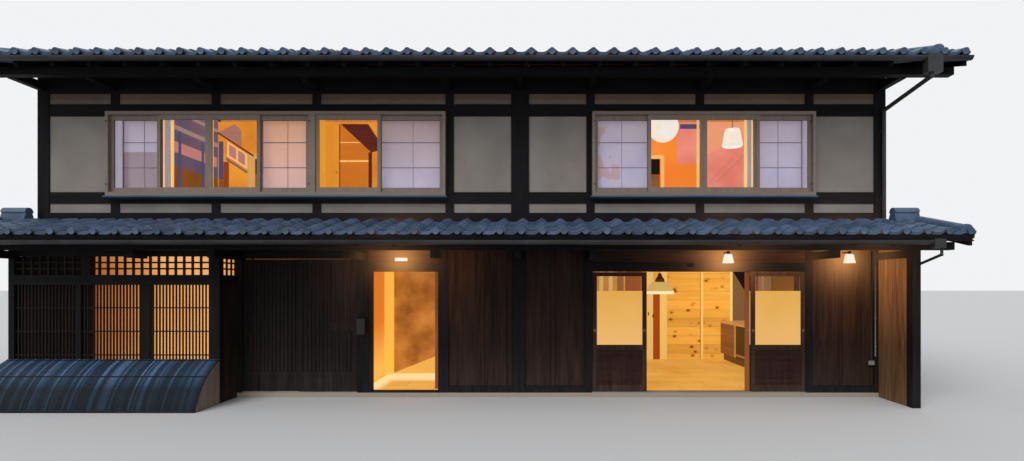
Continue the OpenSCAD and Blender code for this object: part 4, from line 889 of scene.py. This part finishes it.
def make_tile(name, pitch, course, at_eave):
    width = pitch + side_lap
    tile = grid(name, (width, course + head_lap), (tile_columns, 1))
    for i in range(tile_columns + 1):
        x = width * i / tile_columns
        tuck = (tile_t + 0.002) * max(0.0, 1 - i / 2)
        move(tile, lambda at, part: abs(at.x - x) < 0.001, (0, 0, tile_height(x, pitch) - tuck))
    if at_eave:
        choose(tile, "VERT", lambda at, part: at.y < 0.001)
        bpy.ops.mesh.extrude_region_move(TRANSFORM_OT_translate={"value": (0, 0, -lip)})
        leave()
    modify(tile, "SOLIDIFY", thickness=tile_t, offset=-1)
    move(tile, lambda at, part: at.y < 0.03, (0, 0, course_lift))
    if at_eave:
        centre = (pitch * crest_share, -0.010, roll_top + course_lift + 0.002 - disc_r)
        disc = cylinder("disc", disc_r, disc_h, centre, FACING)
        inset(disc, lambda at, part: at.y < centre[1] - disc_h / 2 + 0.001, (0.008, -0.004))
        join(name, [tile, bevel(disc, 0.002)])
    return tile


def slope_of(node):
    """The outer corner of a tile layer at its left eave, its width, and its rise and run to the top."""
    low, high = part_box(node)
    corners = [vertex.co for vertex in nodes[node].data.vertices if vertex.co.x < low.x + 0.001]
    front = min(corner.y for corner in corners)
    edge = max((corner for corner in corners if corner.y < front + 0.001), key=lambda corner: corner.z)
    top = max((corner for corner in corners if corner.y < front + street_half), key=lambda corner: corner.z)
    return (low.x, edge.y, edge.z), high.x - low.x, top.z - edge.z, top.y - edge.y


def tile_slope(name, node, course_aim, pitch_aim=0.26):
    start, width, rise, run = slope_of(node)
    length = math.hypot(rise, run)
    columns, rows = round(width / pitch_aim), round(length / course_aim)
    pitch, course = width / columns, (length - 0.01) / rows
    row = repeat(make_tile(name, pitch, course, False), columns, (pitch, 0, 0))
    field = repeat(row, rows - 1, (0, course, 0))
    put(field, (0, course, 0))
    eave_row = repeat(make_tile(name + "_eave", pitch, course, True), columns, (pitch, 0, 0))
    flanges = []
    for x in (-0.016, width):
        flange = block(name + "_flange", (x, 0, -0.085), (x + 0.016, course + head_lap, 0.012))
        move(flange, lambda at, part: at.y < 0.01, (0, 0, course_lift))
        flanges.append(repeat(bevel(flange, 0.003), rows, (0, course, 0)))
    put(join(name, [field, eave_row] + flanges), start, (math.atan2(rise, run), 0, 0))
    print(name, "columns", columns, "rows", rows, "pitch", round(pitch, 4), "course", round(course, 4))
    return smooth(field, 40)


def edge_boards(name, node):
    """A board under the tiles at the eave and at both gables, where the laths' ends would show."""
    start, width, rise, run = slope_of(node)
    layer = 0.08
    boards = [bevel(block(name, (0, 0.004, -layer), (width, 0.03, -0.012)), 0.002)]
    for x in (0.002, width - 0.027):
        boards.append(bevel(block(name, (x, 0.03, -layer), (x + 0.025, math.hypot(rise, run), -0.012)), 0.002))
    return put(join(name, boards), start, (math.atan2(rise, run), 0, 0))


def at_rear(piece, name):
    """A copy of a piece of the front slope, turned round onto the rear slope."""
    pick(piece)
    bpy.ops.object.duplicate()
    bpy.context.object.name = name
    return put(bpy.context.object, (0, 2 * ridge_y, 0), (0, 0, math.radians(180)))


# %% Three slopes of tiles, with boards under their edges
main_front = tile_slope("main_tiles_front", "main_roof_tiles", 0.235)
main_rear = at_rear(main_front, "main_tiles_rear")
pent_front = tile_slope("pent_tiles", "pent_roof_tiles", 0.22)
for piece in (main_front, main_rear, pent_front):
    dress(piece, tile_clay)
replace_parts(main_front, "main_roof_tiles")
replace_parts(main_rear, "main_roof_tiles")
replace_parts(pent_front, "pent_roof_tiles")
front_boards = edge_boards("eave_boards_front", "main_roof_tiles")
for piece in (front_boards, at_rear(front_boards, "eave_boards_rear"),
              edge_boards("eave_boards_pent", "pent_roof_tiles")):
    dress(piece, timber_level)

# %% [markdown]
# ## Bamboo skirt
#
# The skirt keeps dogs and splashes from the wall. It is split bamboo: each slat is bent to the same bow, its
# round skin outward, and they are tied to a rail. Slats leave a sliver of dark between them.

# %% Bent slats
low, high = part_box("bamboo_skirt")
reach, rise = high.y - low.y, high.z
bulge = 0.1
chord = math.hypot(reach, rise)
bow_r = (chord ** 2 / 4 + bulge ** 2) / (2 * bulge)
lean = math.atan2(rise, reach)
half_turn = math.asin(chord / 2 / bow_r)
bow_middle = (reach / 2 + (bulge - bow_r) * math.sin(lean), rise / 2 + (bulge - bow_r) * math.cos(lean))


def bow(share, sink=0.0):
    """A point on the skirt's bow as (Y, Z): share 0 is the top and 1 the foot."""
    angle = math.pi / 2 - lean + half_turn - 2 * half_turn * share
    out = bow_middle[0] + (bow_r - sink) * math.cos(angle)
    return high.y - max(out, 0.004), max(0.0, bow_middle[1] + (bow_r - sink) * math.sin(angle))


slat_pitch, slat_w, slat_t, bends = 0.026, 0.022, 0.009, 12
slats = grid("bamboo_slats", (slat_w, 1), (3, bends))
for share in [i / bends for i in range(bends + 1)]:
    y, z = bow(share, 0.002)
    move(slats, lambda at, part: abs(at.y - share) < 0.001, (0, y - share, z))
move(slats, lambda at, part: 0.2 * slat_w < at.x < 0.8 * slat_w, (0, -0.003, 0.003))
modify(slats, "SOLIDIFY", thickness=slat_t, offset=-1)
count = int((high.x - low.x) / slat_pitch)
put(repeat(slats, count, ((high.x - low.x - slat_w) / (count - 1), 0, 0)), (low.x, 0, 0))
choose(slats, "VERT", lambda at, part: True)
bpy.ops.mesh.remove_doubles(threshold=0.0001)
bpy.ops.mesh.normals_make_consistent(inside=False)
leave()
dress(smooth(slats, 50), bamboo)
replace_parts(slats, "bamboo_skirt")

# %% Rails that hold the slats
rails = []
for share, width in ((0.02, 0.03), (0.42, 0.022), (0.97, 0.03)):
    (y0, z0), (y1, z1) = bow(share), bow(share + width / chord)
    rail = block("skirt_rail", (low.x, -0.5, -0.006), (high.x, 0.5, 0.006))
    put(rail, (0, (y0 + y1) / 2 - 0.004, (z0 + z1) / 2 + 0.004), (math.atan2(z0 - z1, y0 - y1), 0, 0),
        (1, width, 1))
    rails.append(bevel(rail, 0.004, 2))
dress(join("skirt_rails", rails), timber_level)

# %% [markdown]
# ## Doors
#
# Four leaves slide in two tracks before the shop. A real leaf is a frame of stiles and rails around a wooden
# panel below and a pane above. Film frosts the pane up to eye height and leaves a clear band over it. Each
# leaf is made of its own pieces, and they ride on that leaf's body, as the rails and fittings of the entry
# door do on its own.

# %% Lit timber, and glass of the doors


def lit_timber(name, low, high, strength=0.75, along="x"):
    """Indoor timber in lamplight: grain in its colour, and a glow of the same colour."""
    finish = Finish(name, Roughness=0.6, Specular_IOR_Level=0.1, Emission_Strength=strength)
    fibre, height = finish.use(grain, along, Fineness=30.0, Figure=4.0)
    finish.glow(ramp(height, (0.3, low), (0.75, high)), 0.5)
    finish.relief(height, 0.15, 0.002)
    return finish


# Painted lamplight: this finish lights the third leaf's stile and the entry door's stop with the glow of the
# lamps near them.
lamplit_timber = lit_timber("lamplit_timber", (0.20, 0.055, 0.015), (0.36, 0.12, 0.035), 0.6, "z")
frosted = Finish("frosted_glass", Roughness=0.7, Specular_IOR_Level=0.2, Emission_Strength=0.7)
# Painted lamplight: the frosted film glows orange as an emission colour, as if lit from the shop behind, and
# turns a greyer beige low down.
film = ramp(frosted.use(mottle, Scale=0.9)[0], (0.3, (0.84, 0.42, 0.07)), (0.7, (0.92, 0.50, 0.12)))
low_down = (frosted.axes()[2] * -1.1 + 1.62).clipped()
frosted.glow(mix(low_down * 0.6, film, (0.80, 0.48, 0.20)), 0.4)

# %% Four leaves of the shop
stile_w, head_h, panel_top, base_h = 0.060, 0.057, 0.579, 0.085
foot_h, frost_top, pane_half_t = 0.650, 1.404, 0.0025
pull_z = 0.93


def sunk_disc(name, radius, thick, at, test, steps, turn=FACING, sides=24):
    """A flat round piece whose face that passes a test is stepped."""
    return inset(cylinder(name, radius, thick, at, turn, sides), test, *steps)


def shop_leaf(node, stile_finish):
    low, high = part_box(node)
    height, middle_y = high.z - low.z, (low.y + high.y) / 2
    left, right = low.x + stile_w, high.x - stile_w

    def bar(x, z):
        return bevel(block(node, (x[0], low.y, low.z + z[0]), (x[1], high.y, low.z + z[1])), 0.002, 2)

    def filling(name, grow, half_t, z):
        return block(node + name, (left - grow, middle_y - half_t, low.z + z[0]),
                     (right + grow, middle_y + half_t, low.z + z[1]))

    frame_bars = [bar((right, high.x), (0, height)), bar((left, right), (0, base_h)),
                  bar((left, right), (panel_top, foot_h)), bar((left, right), (height - head_h, height))]
    dress(join(node + "_frame", frame_bars), door_timber, node)
    dress(join(node + "_stile", [bar((low.x, left), (0, height))]), stile_finish, node)
    panel = filling("_panel", 0.006, 0.007, (base_h - 0.006, panel_top + 0.006))
    inset(panel, lambda at, part: abs(part.normal.y) > 0.5, (0.035, 0), (0.010, 0.004), each=True)
    dress(panel, panel_timber, node)
    for name, finish, z in (("_frosted", frosted, (foot_h - 0.004, frost_top)),
                            ("_clear", clear_glass, (frost_top, height - head_h + 0.004))):
        pane = dress(filling(name, 0.004, pane_half_t, z), finish, node)
        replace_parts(pane, node)
    pulls = [sunk_disc("pull", 0.018, 0.003, (x, y, pull_z), lambda at, part: (at.y - y) * outward > 0.001,
                       ((0.004, 0), (0.002, -0.002)))
             for x in (low.x + stile_w / 2, high.x - stile_w / 2) for outward, y in ((-1, low.y), (1, high.y))]
    dress(join(node + "_pulls", pulls), brass, node)


# The third leaf's stile takes painted lamplight from the wall lamp above it.
for node in ("shop_door_1", "shop_door_2", "shop_door_3", "shop_door_4"):
    shop_leaf(node, lamplit_timber if node == "shop_door_3" else door_timber)

# %% [markdown]
# ## Boarded walls
#
# Between the posts the ground floor is closed by wide upright boards, with battens over two of the joints. The
# frame holds one panel per bay. Here every board is a piece of its own: a block with rounded edges, pushed in or
# out by a millimetre, because hand-set boards never lie quite flush.

# %% Boards and battens
wall_low, wall_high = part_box("board_walls")
batten_d, board_t, gap, narrow_w = 0.012, 0.016, 0.0035, 0.078
face_y = wall_low.y + batten_d
battens = [(0.261, 0.316), (1.2487, 1.3037)]
seams = [battens[0], (wall_high.x - 0.432, wall_high.x - 0.425), battens[1]]
boards, backing = [], []
for low_x, high_x in spans("board_walls", 0):
    cuts = [seam for seam in seams if low_x < seam[0] < high_x]
    if low_x < 0:
        cuts.append((high_x - narrow_w - gap, high_x - narrow_w))
    edges = [low_x] + [x for cut in cuts for x in cut] + [high_x]
    for i in range(0, len(edges), 2):
        front = face_y + 0.0012 * (i % 4) / 2
        boards.append(bevel(block("board", (edges[i] + gap / 2, front, wall_low.z),
                                  (edges[i + 1] - gap / 2, front + board_t, wall_high.z)), 0.0025, 2))
    backing.append(block("backing", (low_x, face_y + board_t + 0.001, wall_low.z),
                         (high_x, wall_high.y, wall_high.z)))
for low_x, high_x in battens:
    batten = block("batten", (low_x, wall_low.y, wall_low.z), (high_x, face_y + board_t, wall_high.z))
    boards.append(bevel(batten, 0.004, 2))
wall_boards = dress(join("wall_boards", boards), boards_up)
dress(join("wall_backing", backing), boards_up)
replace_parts(wall_boards, "board_walls")

# %% Blocking between the rafters
# Short boards over the wall plate close the gap under the roof boards, so no bird or wind gets in. They stand
# between the lowest undersides, which are the rafters', and reach up to the highest, which is the boards'.
start, width, rise, run = slope_of("main_roof_tiles")
slope = rise / run
mesh = nodes["main_roof_frame"].data
planes = [(face.center.z - slope * (face.center.y - street_y), [mesh.vertices[i].co.x for i in face.vertices])
          for face in mesh.polygons if face.normal.z < -0.9 and face.center.y < 2.9]
lowest, highest = min(planes)[0], max(planes)[0]
rafters = sorted({(round(min(across), 3), round(max(across), 3)) for z, across in planes if z < lowest + 0.01})
end_x = inner_x + 0.13
blocking = [block("blocking", (a + 0.002, street_y + 0.03, lowest + 0.02),
                  (b - 0.002, street_y + 0.05, highest - 0.002 + 0.03 * slope))
            for (_, a), (b, _) in zip(rafters, rafters[1:]) if a > -end_x and b < end_x]
print("rafters", len(rafters), "planes at the wall", round(lowest, 3), round(highest, 3))
dress(join("eave_blocking", blocking), timber_level)

# %% Sensor box over the shop
lintel_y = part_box("lintels")[0].y
sensor = block("sensor_box", (3.153, lintel_y - 0.03, 1.822), (3.237, lintel_y - 0.0003, 1.872))
inset(sensor, lambda at, part: part.normal.y < -0.5, (0.008, -0.003))
dress(bevel(sensor, 0.003, 2), box_metal)

# %% [markdown]
# ## What shows through the upper windows
#
# The open panes show lit rooms: cupboard doors under a sloping tie beam, a framed light in a wall, and trim
# round the inner doorways. Each is a board or a bar on the wall that carries it. A board with slanting ends
# starts as a block, and its four edges are then moved to its corners.

# %% Boards on the walls of the rooms
amber_trim = lit_timber("amber_trim", (0.90, 0.46, 0.12), (1.0, 0.66, 0.25), 0.85, "z")
cupboard_timber = lit_timber("cupboard_timber", (0.78, 0.28, 0.02), (0.92, 0.38, 0.035), 0.75, "z")
shelf_timber = lit_timber("shelf_timber", (0.62, 0.17, 0.012), (0.76, 0.24, 0.02))
tan_trim = lit_timber("tan_trim", (0.66, 0.36, 0.10), (0.85, 0.50, 0.17), 0.75, "z")
beam_timber = lit_timber("beam_timber", (0.075, 0.010, 0.006), (0.15, 0.024, 0.012))
dark_line = lit_timber("dark_line", (0.030, 0.006, 0.002), (0.06, 0.012, 0.004))
rose_panel = lit_timber("rose_panel", (0.52, 0.22, 0.20), (0.62, 0.28, 0.25), 0.7)
blue_beam = lit_timber("blue_beam", (0.075, 0.080, 0.19), (0.12, 0.12, 0.25), 0.6)
tan_beam = lit_timber("tan_beam", (0.30, 0.21, 0.18), (0.44, 0.32, 0.26), 0.7)
mauve_board = lit_timber("mauve_board", (0.40, 0.17, 0.13), (0.55, 0.26, 0.21), 0.7)
ochre_board = lit_timber("ochre_board", (0.24, 0.075, 0.008), (0.36, 0.13, 0.014), 0.7)
rust_board = lit_timber("rust_board", (0.27, 0.045, 0.008), (0.40, 0.08, 0.015), 0.7, "z")
pale_edge = lit_timber("pale_edge", (0.42, 0.34, 0.42), (0.56, 0.47, 0.55), 0.5, "z")
floor_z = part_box("upper_floor")[1].z
fall = -0.65


def rectangle(x, z):
    return (x[0], z[0]), (x[1], z[0]), (x[1], z[1]), (x[0], z[1])


def falling(x, z, height):
    """Corners of a bar that falls to the right; z is its low left one's height."""
    drop = fall * (x[1] - x[0])
    return (x[0], z), (x[1], z + drop), (x[1], z + drop + height), (x[0], z + height)


def on_back_wall(depth, inner=0.0005):
    return back_y - depth, back_y - inner


def hang(name, finish, slot, *boards):
    """Upright boards across the house, joined and dressed. Each is its corners as (X, Z), from low left round
    to high left, and its front and back."""
    made = []
    for corners, (front, back) in boards:
        piece = block(name, (0, front, 0), (1, back, 1))
        for (start_x, start_z), (x, z) in zip(rectangle((0, 1), (0, 1)), corners):
            move(piece, lambda at, part: abs(at.x - start_x) + abs(at.z - start_z) < 0.0002,
                 (x - start_x, 0, z - start_z))
        made.append(bevel(piece, 0.003))
    dress(join(name, made), finish)


# %% Screens' edges beside the open panes
screen_z = (sill_z, head_z)
in_screen, in_front, before_studs = (0.0, 0.024), (-0.030, -0.004), (-0.066, street_y - 0.0005)
lit_edges = [((-4.258, -4.1695), in_front), ((-4.106, -4.066), in_screen), ((-3.545, -3.512), in_screen),
             ((3.308, 3.336), in_screen), ((3.975, 4.014), in_screen), ((4.073, 4.0966), in_screen)]
pale_edges = [((-4.1685, -4.107), in_front), ((4.015, 4.072), in_screen), ((-4.879, -4.735), before_studs),
              ((4.762, 4.872), before_studs)]
hang("lit_edges", amber_trim, "pale_timber", *[(rectangle(x, screen_z), y) for x, y in lit_edges])
hang("pale_edges", pale_edge, "screen_paper", *[(rectangle(x, screen_z), y) for x, y in pale_edges])
hang("lit_lining", cupboard_timber, "pale_timber", (rectangle((-2.013, -1.905), screen_z), before_studs))

# %% Trim of the inner doorways


def doorway_trim(name, finish, left, right):
    """Two jambs, each given by its sides, and a head over them."""
    jamb_z, head = (floor_z, 4.29), ((left[0], right[1]), (4.2905, 4.36))
    hang(name, finish, "pale_timber", *[(rectangle(*sides), on_back_wall(0.016))
                                        for sides in ((left, jamb_z), (right, jamb_z), head)])


doorway_trim("left_doorway_trim", tan_trim, (-5.16, -5.05), (-4.285, -4.215))
doorway_trim("right_doorway_trim", amber_trim, (2.905, 2.976), (3.7385, 3.81))

# %% Left room: a framed light, boards in the corner and the party wall
frame_x, frame_z, bar = (-5.60, -5.18), (4.34, 4.66), 0.035
light_bars = [(falling(frame_x, z, bar), on_back_wall(0.03)) for z in (frame_z[0], frame_z[1] - bar)]
for x in (frame_x[0], (frame_x[0] + frame_x[1] - bar) / 2, frame_x[1] - bar):
    z = frame_z[0] + fall * (x - frame_x[0])
    light_bars.append((rectangle((x, x + bar), (z, z + frame_z[1] - frame_z[0] - 0.02)), on_back_wall(0.022)))
hang("framed_light", amber_trim, "pale_timber", *light_bars)
hang("light_panel", rose_panel, "plaster",
     (falling((frame_x[0] + 0.03, frame_x[1] - 0.03), frame_z[0] + 0.02, 0.26), on_back_wall(0.010)))
hang("light_shade", mauve_board, "pale_timber", (falling((-5.62, -5.17), 4.285, 0.045), on_back_wall(0.035)))
hang("light_foot", dark_line, "dark_timber", (falling((-5.62, -5.17), 4.262, 0.018), on_back_wall(0.03)))
hang("ceiling_bar", beam_timber, "dark_timber", (falling((-5.79, -5.03), 4.82, 0.035), on_back_wall(0.05)))
hang("ceiling_board", mauve_board, "pale_timber",
     (((-5.79, 4.86), (-5.30, 4.55), (-5.30, 4.90), (-5.45, 5.03)), on_back_wall(0.006)))
for name, finish, slot, x, z, depth in (
        ("blue_corner", blue_beam, "dark_timber", (-5.79, -5.69), (colour_split_z, 4.66), 0.008),
        ("ochre_corner", ochre_board, "pale_timber", (-5.79, -5.69), (floor_z, 3.825), 0.008),
        ("rust_corner", rust_board, "pale_timber", (-5.685, -5.57), (floor_z, 4.22), 0.012)):
    hang(name, finish, slot, (rectangle(x, z), on_back_wall(depth)))
deep_end = back_y - 0.06
for name, finish, slot, depth, sides in (
        ("party_panels", rose_panel, "plaster", 0.010,
         [(y, (4.09, 4.30)) for y in ((2.30, 2.94), (3.02, 3.71), (3.79, deep_end))]),
        ("party_rails", tan_beam, "pale_timber", 0.03,
         [((0.3, deep_end), z) for z in ((4.52, 4.60), (4.84, 4.90))]),
        ("party_posts", blue_beam, "dark_timber", 0.02,
         [((y, y + 0.07), (floor_z, 4.5)) for y in (0.95, 1.9, 2.945, 3.715)])):
    made = [block(name, (-inner_x + 0.0005, y[0], z[0]), (-inner_x + depth, y[1], z[1])) for y, z in sides]
    dress(join(name, [bevel(piece, 0.003) for piece in made]), finish)

# %% Left room: cupboards under a tie beam
cupboard_z = (floor_z, 5.02)
shelf_x = (-3.172, -2.556)
for name, finish, slot, x, depth in (("cupboard_door", cupboard_timber, "pale_timber", (-3.66, -3.192), 0.014),
                                     ("cupboard_back", shelf_timber, "pale_timber", shelf_x, 0.008),
                                     ("cupboard_joint", dark_line, "dark_timber", (-3.1915, -3.1725), 0.010)):
    hang(name, finish, slot, (rectangle(x, cupboard_z), on_back_wall(depth)))
hang("cupboard_shelves", amber_trim, "pale_timber",
     (rectangle(shelf_x, (4.215, 4.252)), on_back_wall(0.024, 0.0085)),
     (rectangle(shelf_x, (4.626, 4.644)), on_back_wall(0.018, 0.0085)))
hang("tie_frame", beam_timber, "dark_timber",
     (((-3.14, 5.02), (-2.50, 4.42), (-2.22, 4.50), (-2.56, 5.02)), on_back_wall(0.06)),
     (rectangle((-2.552, -2.487), (floor_z, 4.42)), on_back_wall(0.04)))
knob_x, knob_z = -3.235, 3.99
knob = ball("cupboard_knob", 0.014, (knob_x, back_y - 0.026, knob_z), 16, 8)
resize(knob, lambda at, part: at.y > back_y - 0.024, (0.55, 1.0, 0.55), (knob_x, back_y - 0.02, knob_z))
dress(smooth(knob), dark_line)

# %% Right room: a beam end and rails on the rose wall
hang("beam_end", blue_beam, "dark_timber", (rectangle((4.15, 4.56), (4.93, 5.02)), on_back_wall(0.05)))
hang("wall_rails", mauve_board, "pale_timber",
     (((4.947, 3.772), (5.548, 4.375), (5.548, 4.390), (4.947, 3.787)), on_back_wall(0.012)),
     (((4.78, 3.772), (5.30, 4.300), (5.30, 4.309), (4.78, 3.781)), on_back_wall(0.010)))

# %% [markdown]
# ## Hanging lamps
#
# The shop's lamp is an enamelled cone with pressed ribs over a bright rim, under a brass neck. Upstairs hang a
# paper globe and a linen drum that narrows to its top. Each starts as a cylinder or a sphere, and hangs on its
# rod from the roof or the floor above. The turned ones are cut open below with an inset face.

# %% Shades and rods
shop_at = [sum(spans("pendants", axis, lambda middle: abs(middle.z - 1.5) < 0.15)[0]) / 2 for axis in (0, 1)]
lamps_x = spans("pendants", 0, lambda middle: middle.z > 3)
upper_at = [((a + b) / 2, sum(spans("pendants", 1, lambda middle: a < middle.x < b and middle.z > 3)[0]) / 2)
            for a, b in lamps_x]
rod_tops = [spans("pendants", 2, lambda middle: a < middle.x < b and middle.z > 4.3)[-1][1] for a, b in lamps_x]
print("lamps at", [[round(v, 3) for v in at] for at in (shop_at, *upper_at)])


def turned(name, at, z, radii, ribs=48, ribbed=0.0):
    """A closed shade turned round an upright line: radii are (share of the height, radius)."""
    shade_piece = cylinder(name, 1, z[1] - z[0], (*at, (z[0] + z[1]) / 2), sides=ribs)
    for share, _ in radii[1:-1]:
        choose(shade_piece, "FACE", lambda co, part: True)
        bpy.ops.mesh.bisect(plane_co=(*at, z[0] + share * (z[1] - z[0])), plane_no=(0, 0, 1))
        leave()
    for share, radius in radii:
        level = z[0] + share * (z[1] - z[0])
        resize(shade_piece, lambda co, part: abs(co.z - level) < 0.0005, (radius, radius, 1), (*at, level))
    if ribbed:
        resize(shade_piece, lambda co, part: part.index % 4 < 2 and co.z > z[0] + 0.001,
               (1 - ribbed, 1 - ribbed, 1), (*at, z[0]))
    inset(shade_piece, lambda co, part: part.normal.z < -0.99, (0.004, 0), (0.006, -0.02))
    return smooth(shade_piece, 30)


def rod(at, z):
    bar = cylinder("rod", 0.005, z[1] - z[0], (*at, (z[0] + z[1]) / 2), sides=12)
    deselect()
    bpy.ops.mesh.primitive_cone_add(vertices=16, radius1=0.022, radius2=0.008, depth=0.05)
    return join("rod", [bar, started("cup", (*at, z[0] + 0.02))])


shop_r, rim_h = 0.225, 0.045
rim_z, cone_from, cone_top, neck_top = 1.42, 1.42 + rim_h + 0.0005, 1.615, 1.755
rim = turned("shop_lamp_rim", shop_at, (rim_z, rim_z + rim_h), [(0, shop_r), (1, shop_r - 0.002)], 64)
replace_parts(dress(rim, shop_rim), "pendants")
cone = turned("shop_lamp_cone", shop_at, (cone_from, cone_top),
              [(0, shop_r - 0.006), (0.45, 0.192), (1, 0.55 * shop_r)], 64, 0.03)
dress(cone, shop_shade)
neck = turned("shop_lamp_neck", shop_at, (cone_top + 0.0005, neck_top),
              [(0, 0.078), (0.35, 0.070), (0.6, 0.040), (1, 0.024)], 32)
dress(neck, brass)
globe_r, globe_rings = 0.232, 32
globe_z = 3.760 + globe_r
globe = ball("paper_globe", globe_r, (*upper_at[0], globe_z), 48, globe_rings)
for ring in range(1, globe_rings, 2):
    level = globe_z - globe_r * math.cos(math.pi * ring / globe_rings)
    resize(globe, lambda co, part: abs(co.z - level) < 0.0005, (0.985, 0.985, 1), (*upper_at[0], level))
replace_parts(dress(smooth(globe, 60), white_shade), "pendants")
drum_z = (3.88, 4.17)
drum = turned("linen_drum", upper_at[1], drum_z, [(0, 0.150), (0.06, 0.168), (0.9, 0.125), (1, 0.112)])
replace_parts(dress(drum, white_shade), "pendants")
rods = [rod(shop_at, (cone_top, floor_z - 0.1005)),
        rod(upper_at[0], (globe_z + globe_r - 0.002, rod_tops[0] - 0.004)),
        rod(upper_at[1], (drum_z[1] - 0.002, rod_tops[1] - 0.004))]
dress(join("lamp_rods", rods), box_metal)

# %% [markdown]
# ## Small fittings
#
# The last pieces are what a hand or a ladder meets: boards behind the dark lattice, a conduit with its socket
# by the end wall, handles, a door stop, screw heads, and the rails, pull and latch of the entry door.

# %% Boards behind the left lattice of the bay
lattice_low, lattice_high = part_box("bay_lattice_left")
blind_w = (lattice_high.x - lattice_low.x) / 5
blind_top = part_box("bay_transom")[1].z
blinds = [bevel(block("blind", (lattice_low.x + blind_w * i + 0.001, bay_low.y, lattice_low.z),
                      (lattice_low.x + blind_w * (i + 1) - 0.001, bay_low.y + 0.012, blind_top)), 0.002)
          for i in range(5)]
dress(join("bay_blind", blinds), boards_up)

# %% Conduit, sockets, handles, screws and the door stop
door_low, door_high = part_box("entry_door")
shop_back_y = spans("pine_wall", 1, lambda middle: middle.x > room_split_x)[0][0]
frame_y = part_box("window_frames")[0].y
conduit = cylinder("conduit", 0.008, 1.47, (5.778, street_y - 0.009, 1.305), sides=16)
clips = [bevel(block("clip", (5.765, street_y - 0.021, z), (5.791, street_y - 0.0003, z + 0.014)), 0.003)
         for z in (0.7, 1.1, 1.5, 1.9)]
dress(smooth(join("conduit", [conduit, *clips])), track_stone)
# The stop takes painted lamplight from the lamp over the entry.
stop = block("entry_stop", (-0.400, door_high.y + 0.0065, door_low.z + 0.008),
             (-0.352, door_high.y + 0.020, door_high.z + 0.06))
dress(bevel(stop, 0.003, 2), lamplit_timber)
handles = [bevel(block("handle", (x, shop_back_y - 0.030, z), (x + 0.014, shop_back_y - 0.0003, z + 0.075)),
                 0.004, 2) for x, z in ((3.315, 0.945), (3.405, 0.905))]
dress(join("room_door_handles", handles), dark_line)
socket = [bevel(block("socket", (5.682, street_y - 0.018, 0.448), (5.764, street_y - 0.0003, 0.508)), 0.004, 2)]
socket += [bevel(block("lid", (x, street_y - 0.024, 0.456), (x + 0.030, street_y - 0.0185, 0.500)), 0.002, 2)
           for x in (5.689, 5.727)]
dress(join("socket_plate", socket), track_stone)


def street_disc(name, radius, at):
    """A small disc with a sunk middle that looks to the street."""
    return sunk_disc(name, radius, 0.003, at, lambda co, part: part.normal.y < -0.9,
                     ((radius * 0.35, 0), (radius * 0.1, -0.0012)), sides=20)


screws = [street_disc("screw", 0.011, (x, frame_y - 0.0018, z)) for x in (-4.905, -2.098, 1.853, 4.838)
          for z in (2.962, 3.834)]
dress(join("frame_screws", screws), box_metal)

# %% Latch, rails and pull of the entry door
latch = sunk_disc("entry_latch", 0.012, 0.006, (door_low.x - 0.003, (door_low.y + door_high.y) / 2, 0.937),
                  lambda at, part: part.normal.x < -0.9, ((0.003, 0.002),), (0, math.radians(90), 0), 20)
dress(latch, brass, "entry_door")
door_rails = []
for z in (door_low.z + 0.12, (door_low.z + door_high.z) / 2 - 0.05, door_high.z - 0.19):
    for near, far in ((door_low.y - 0.004, door_low.y - 0.0003), (door_high.y + 0.0003, door_high.y + 0.004)):
        rail = block("rail", (door_low.x + 0.02, near, z), (door_high.x - 0.02, far, z + 0.09))
        door_rails.append(bevel(rail, 0.0015))
dress(join("entry_door_rails", door_rails), panel_timber, "entry_door")
pull = street_disc("entry_door_pull", 0.022, (door_low.x + 0.05, door_low.y - 0.0018, pull_z))
dress(pull, brass, "entry_door")

# %% [markdown]
# ## Floor, backdrop and light
#
# A plain pale floor and a pale surround keep the eye on the house. One broad, soft sun from the front left
# gives the forms a light side, and the surround fills the rest, at a level where a colour renders about as it
# is written.

# %% Stage and light
deselect()
bpy.ops.mesh.primitive_plane_add(size=300, location=(0, 2.5, -0.002))
floor = bpy.context.object
floor.name = "studio_floor"
floor_finish = Finish("studio_floor", Base_Color=(0.60, 0.60, 0.60), Roughness=0.95, Specular_IOR_Level=0.1)
floor.data.materials.append(floor_finish.material)

sun_data = bpy.data.lights.new("soft_sun", "SUN")
sun_data.energy = 1.5
sun_data.angle = math.radians(35)
sun = bpy.data.objects.new("soft_sun", sun_data)
sun.rotation_euler = (math.radians(48), 0, math.radians(-28))
bpy.context.scene.collection.objects.link(sun)

world = bpy.data.worlds.new("surround")
bpy.context.scene.world = world
world.use_nodes = True
tree = world.node_tree
tree.nodes.clear()
path = [value_of(tree, "ShaderNodeLightPath", None, f"Is {kind} Ray")
        for kind in ("Camera", "Glossy", "Transmission")]
filling = value_of(tree, "ShaderNodeBackground", {"Color": (0.93, 0.96, 1.0), "Strength": 0.7})
pale = value_of(tree, "ShaderNodeBackground", {"Color": (0.93, 0.94, 0.95), "Strength": 0.95})
choice = value_of(tree, "ShaderNodeMixShader", {0: path[0] | (path[1] | path[2]), 1: filling, 2: pale})
shader(tree, "ShaderNodeOutputWorld", {"Surface": choice})
print("sun", sun_data.energy, "materials", len(bpy.data.materials))
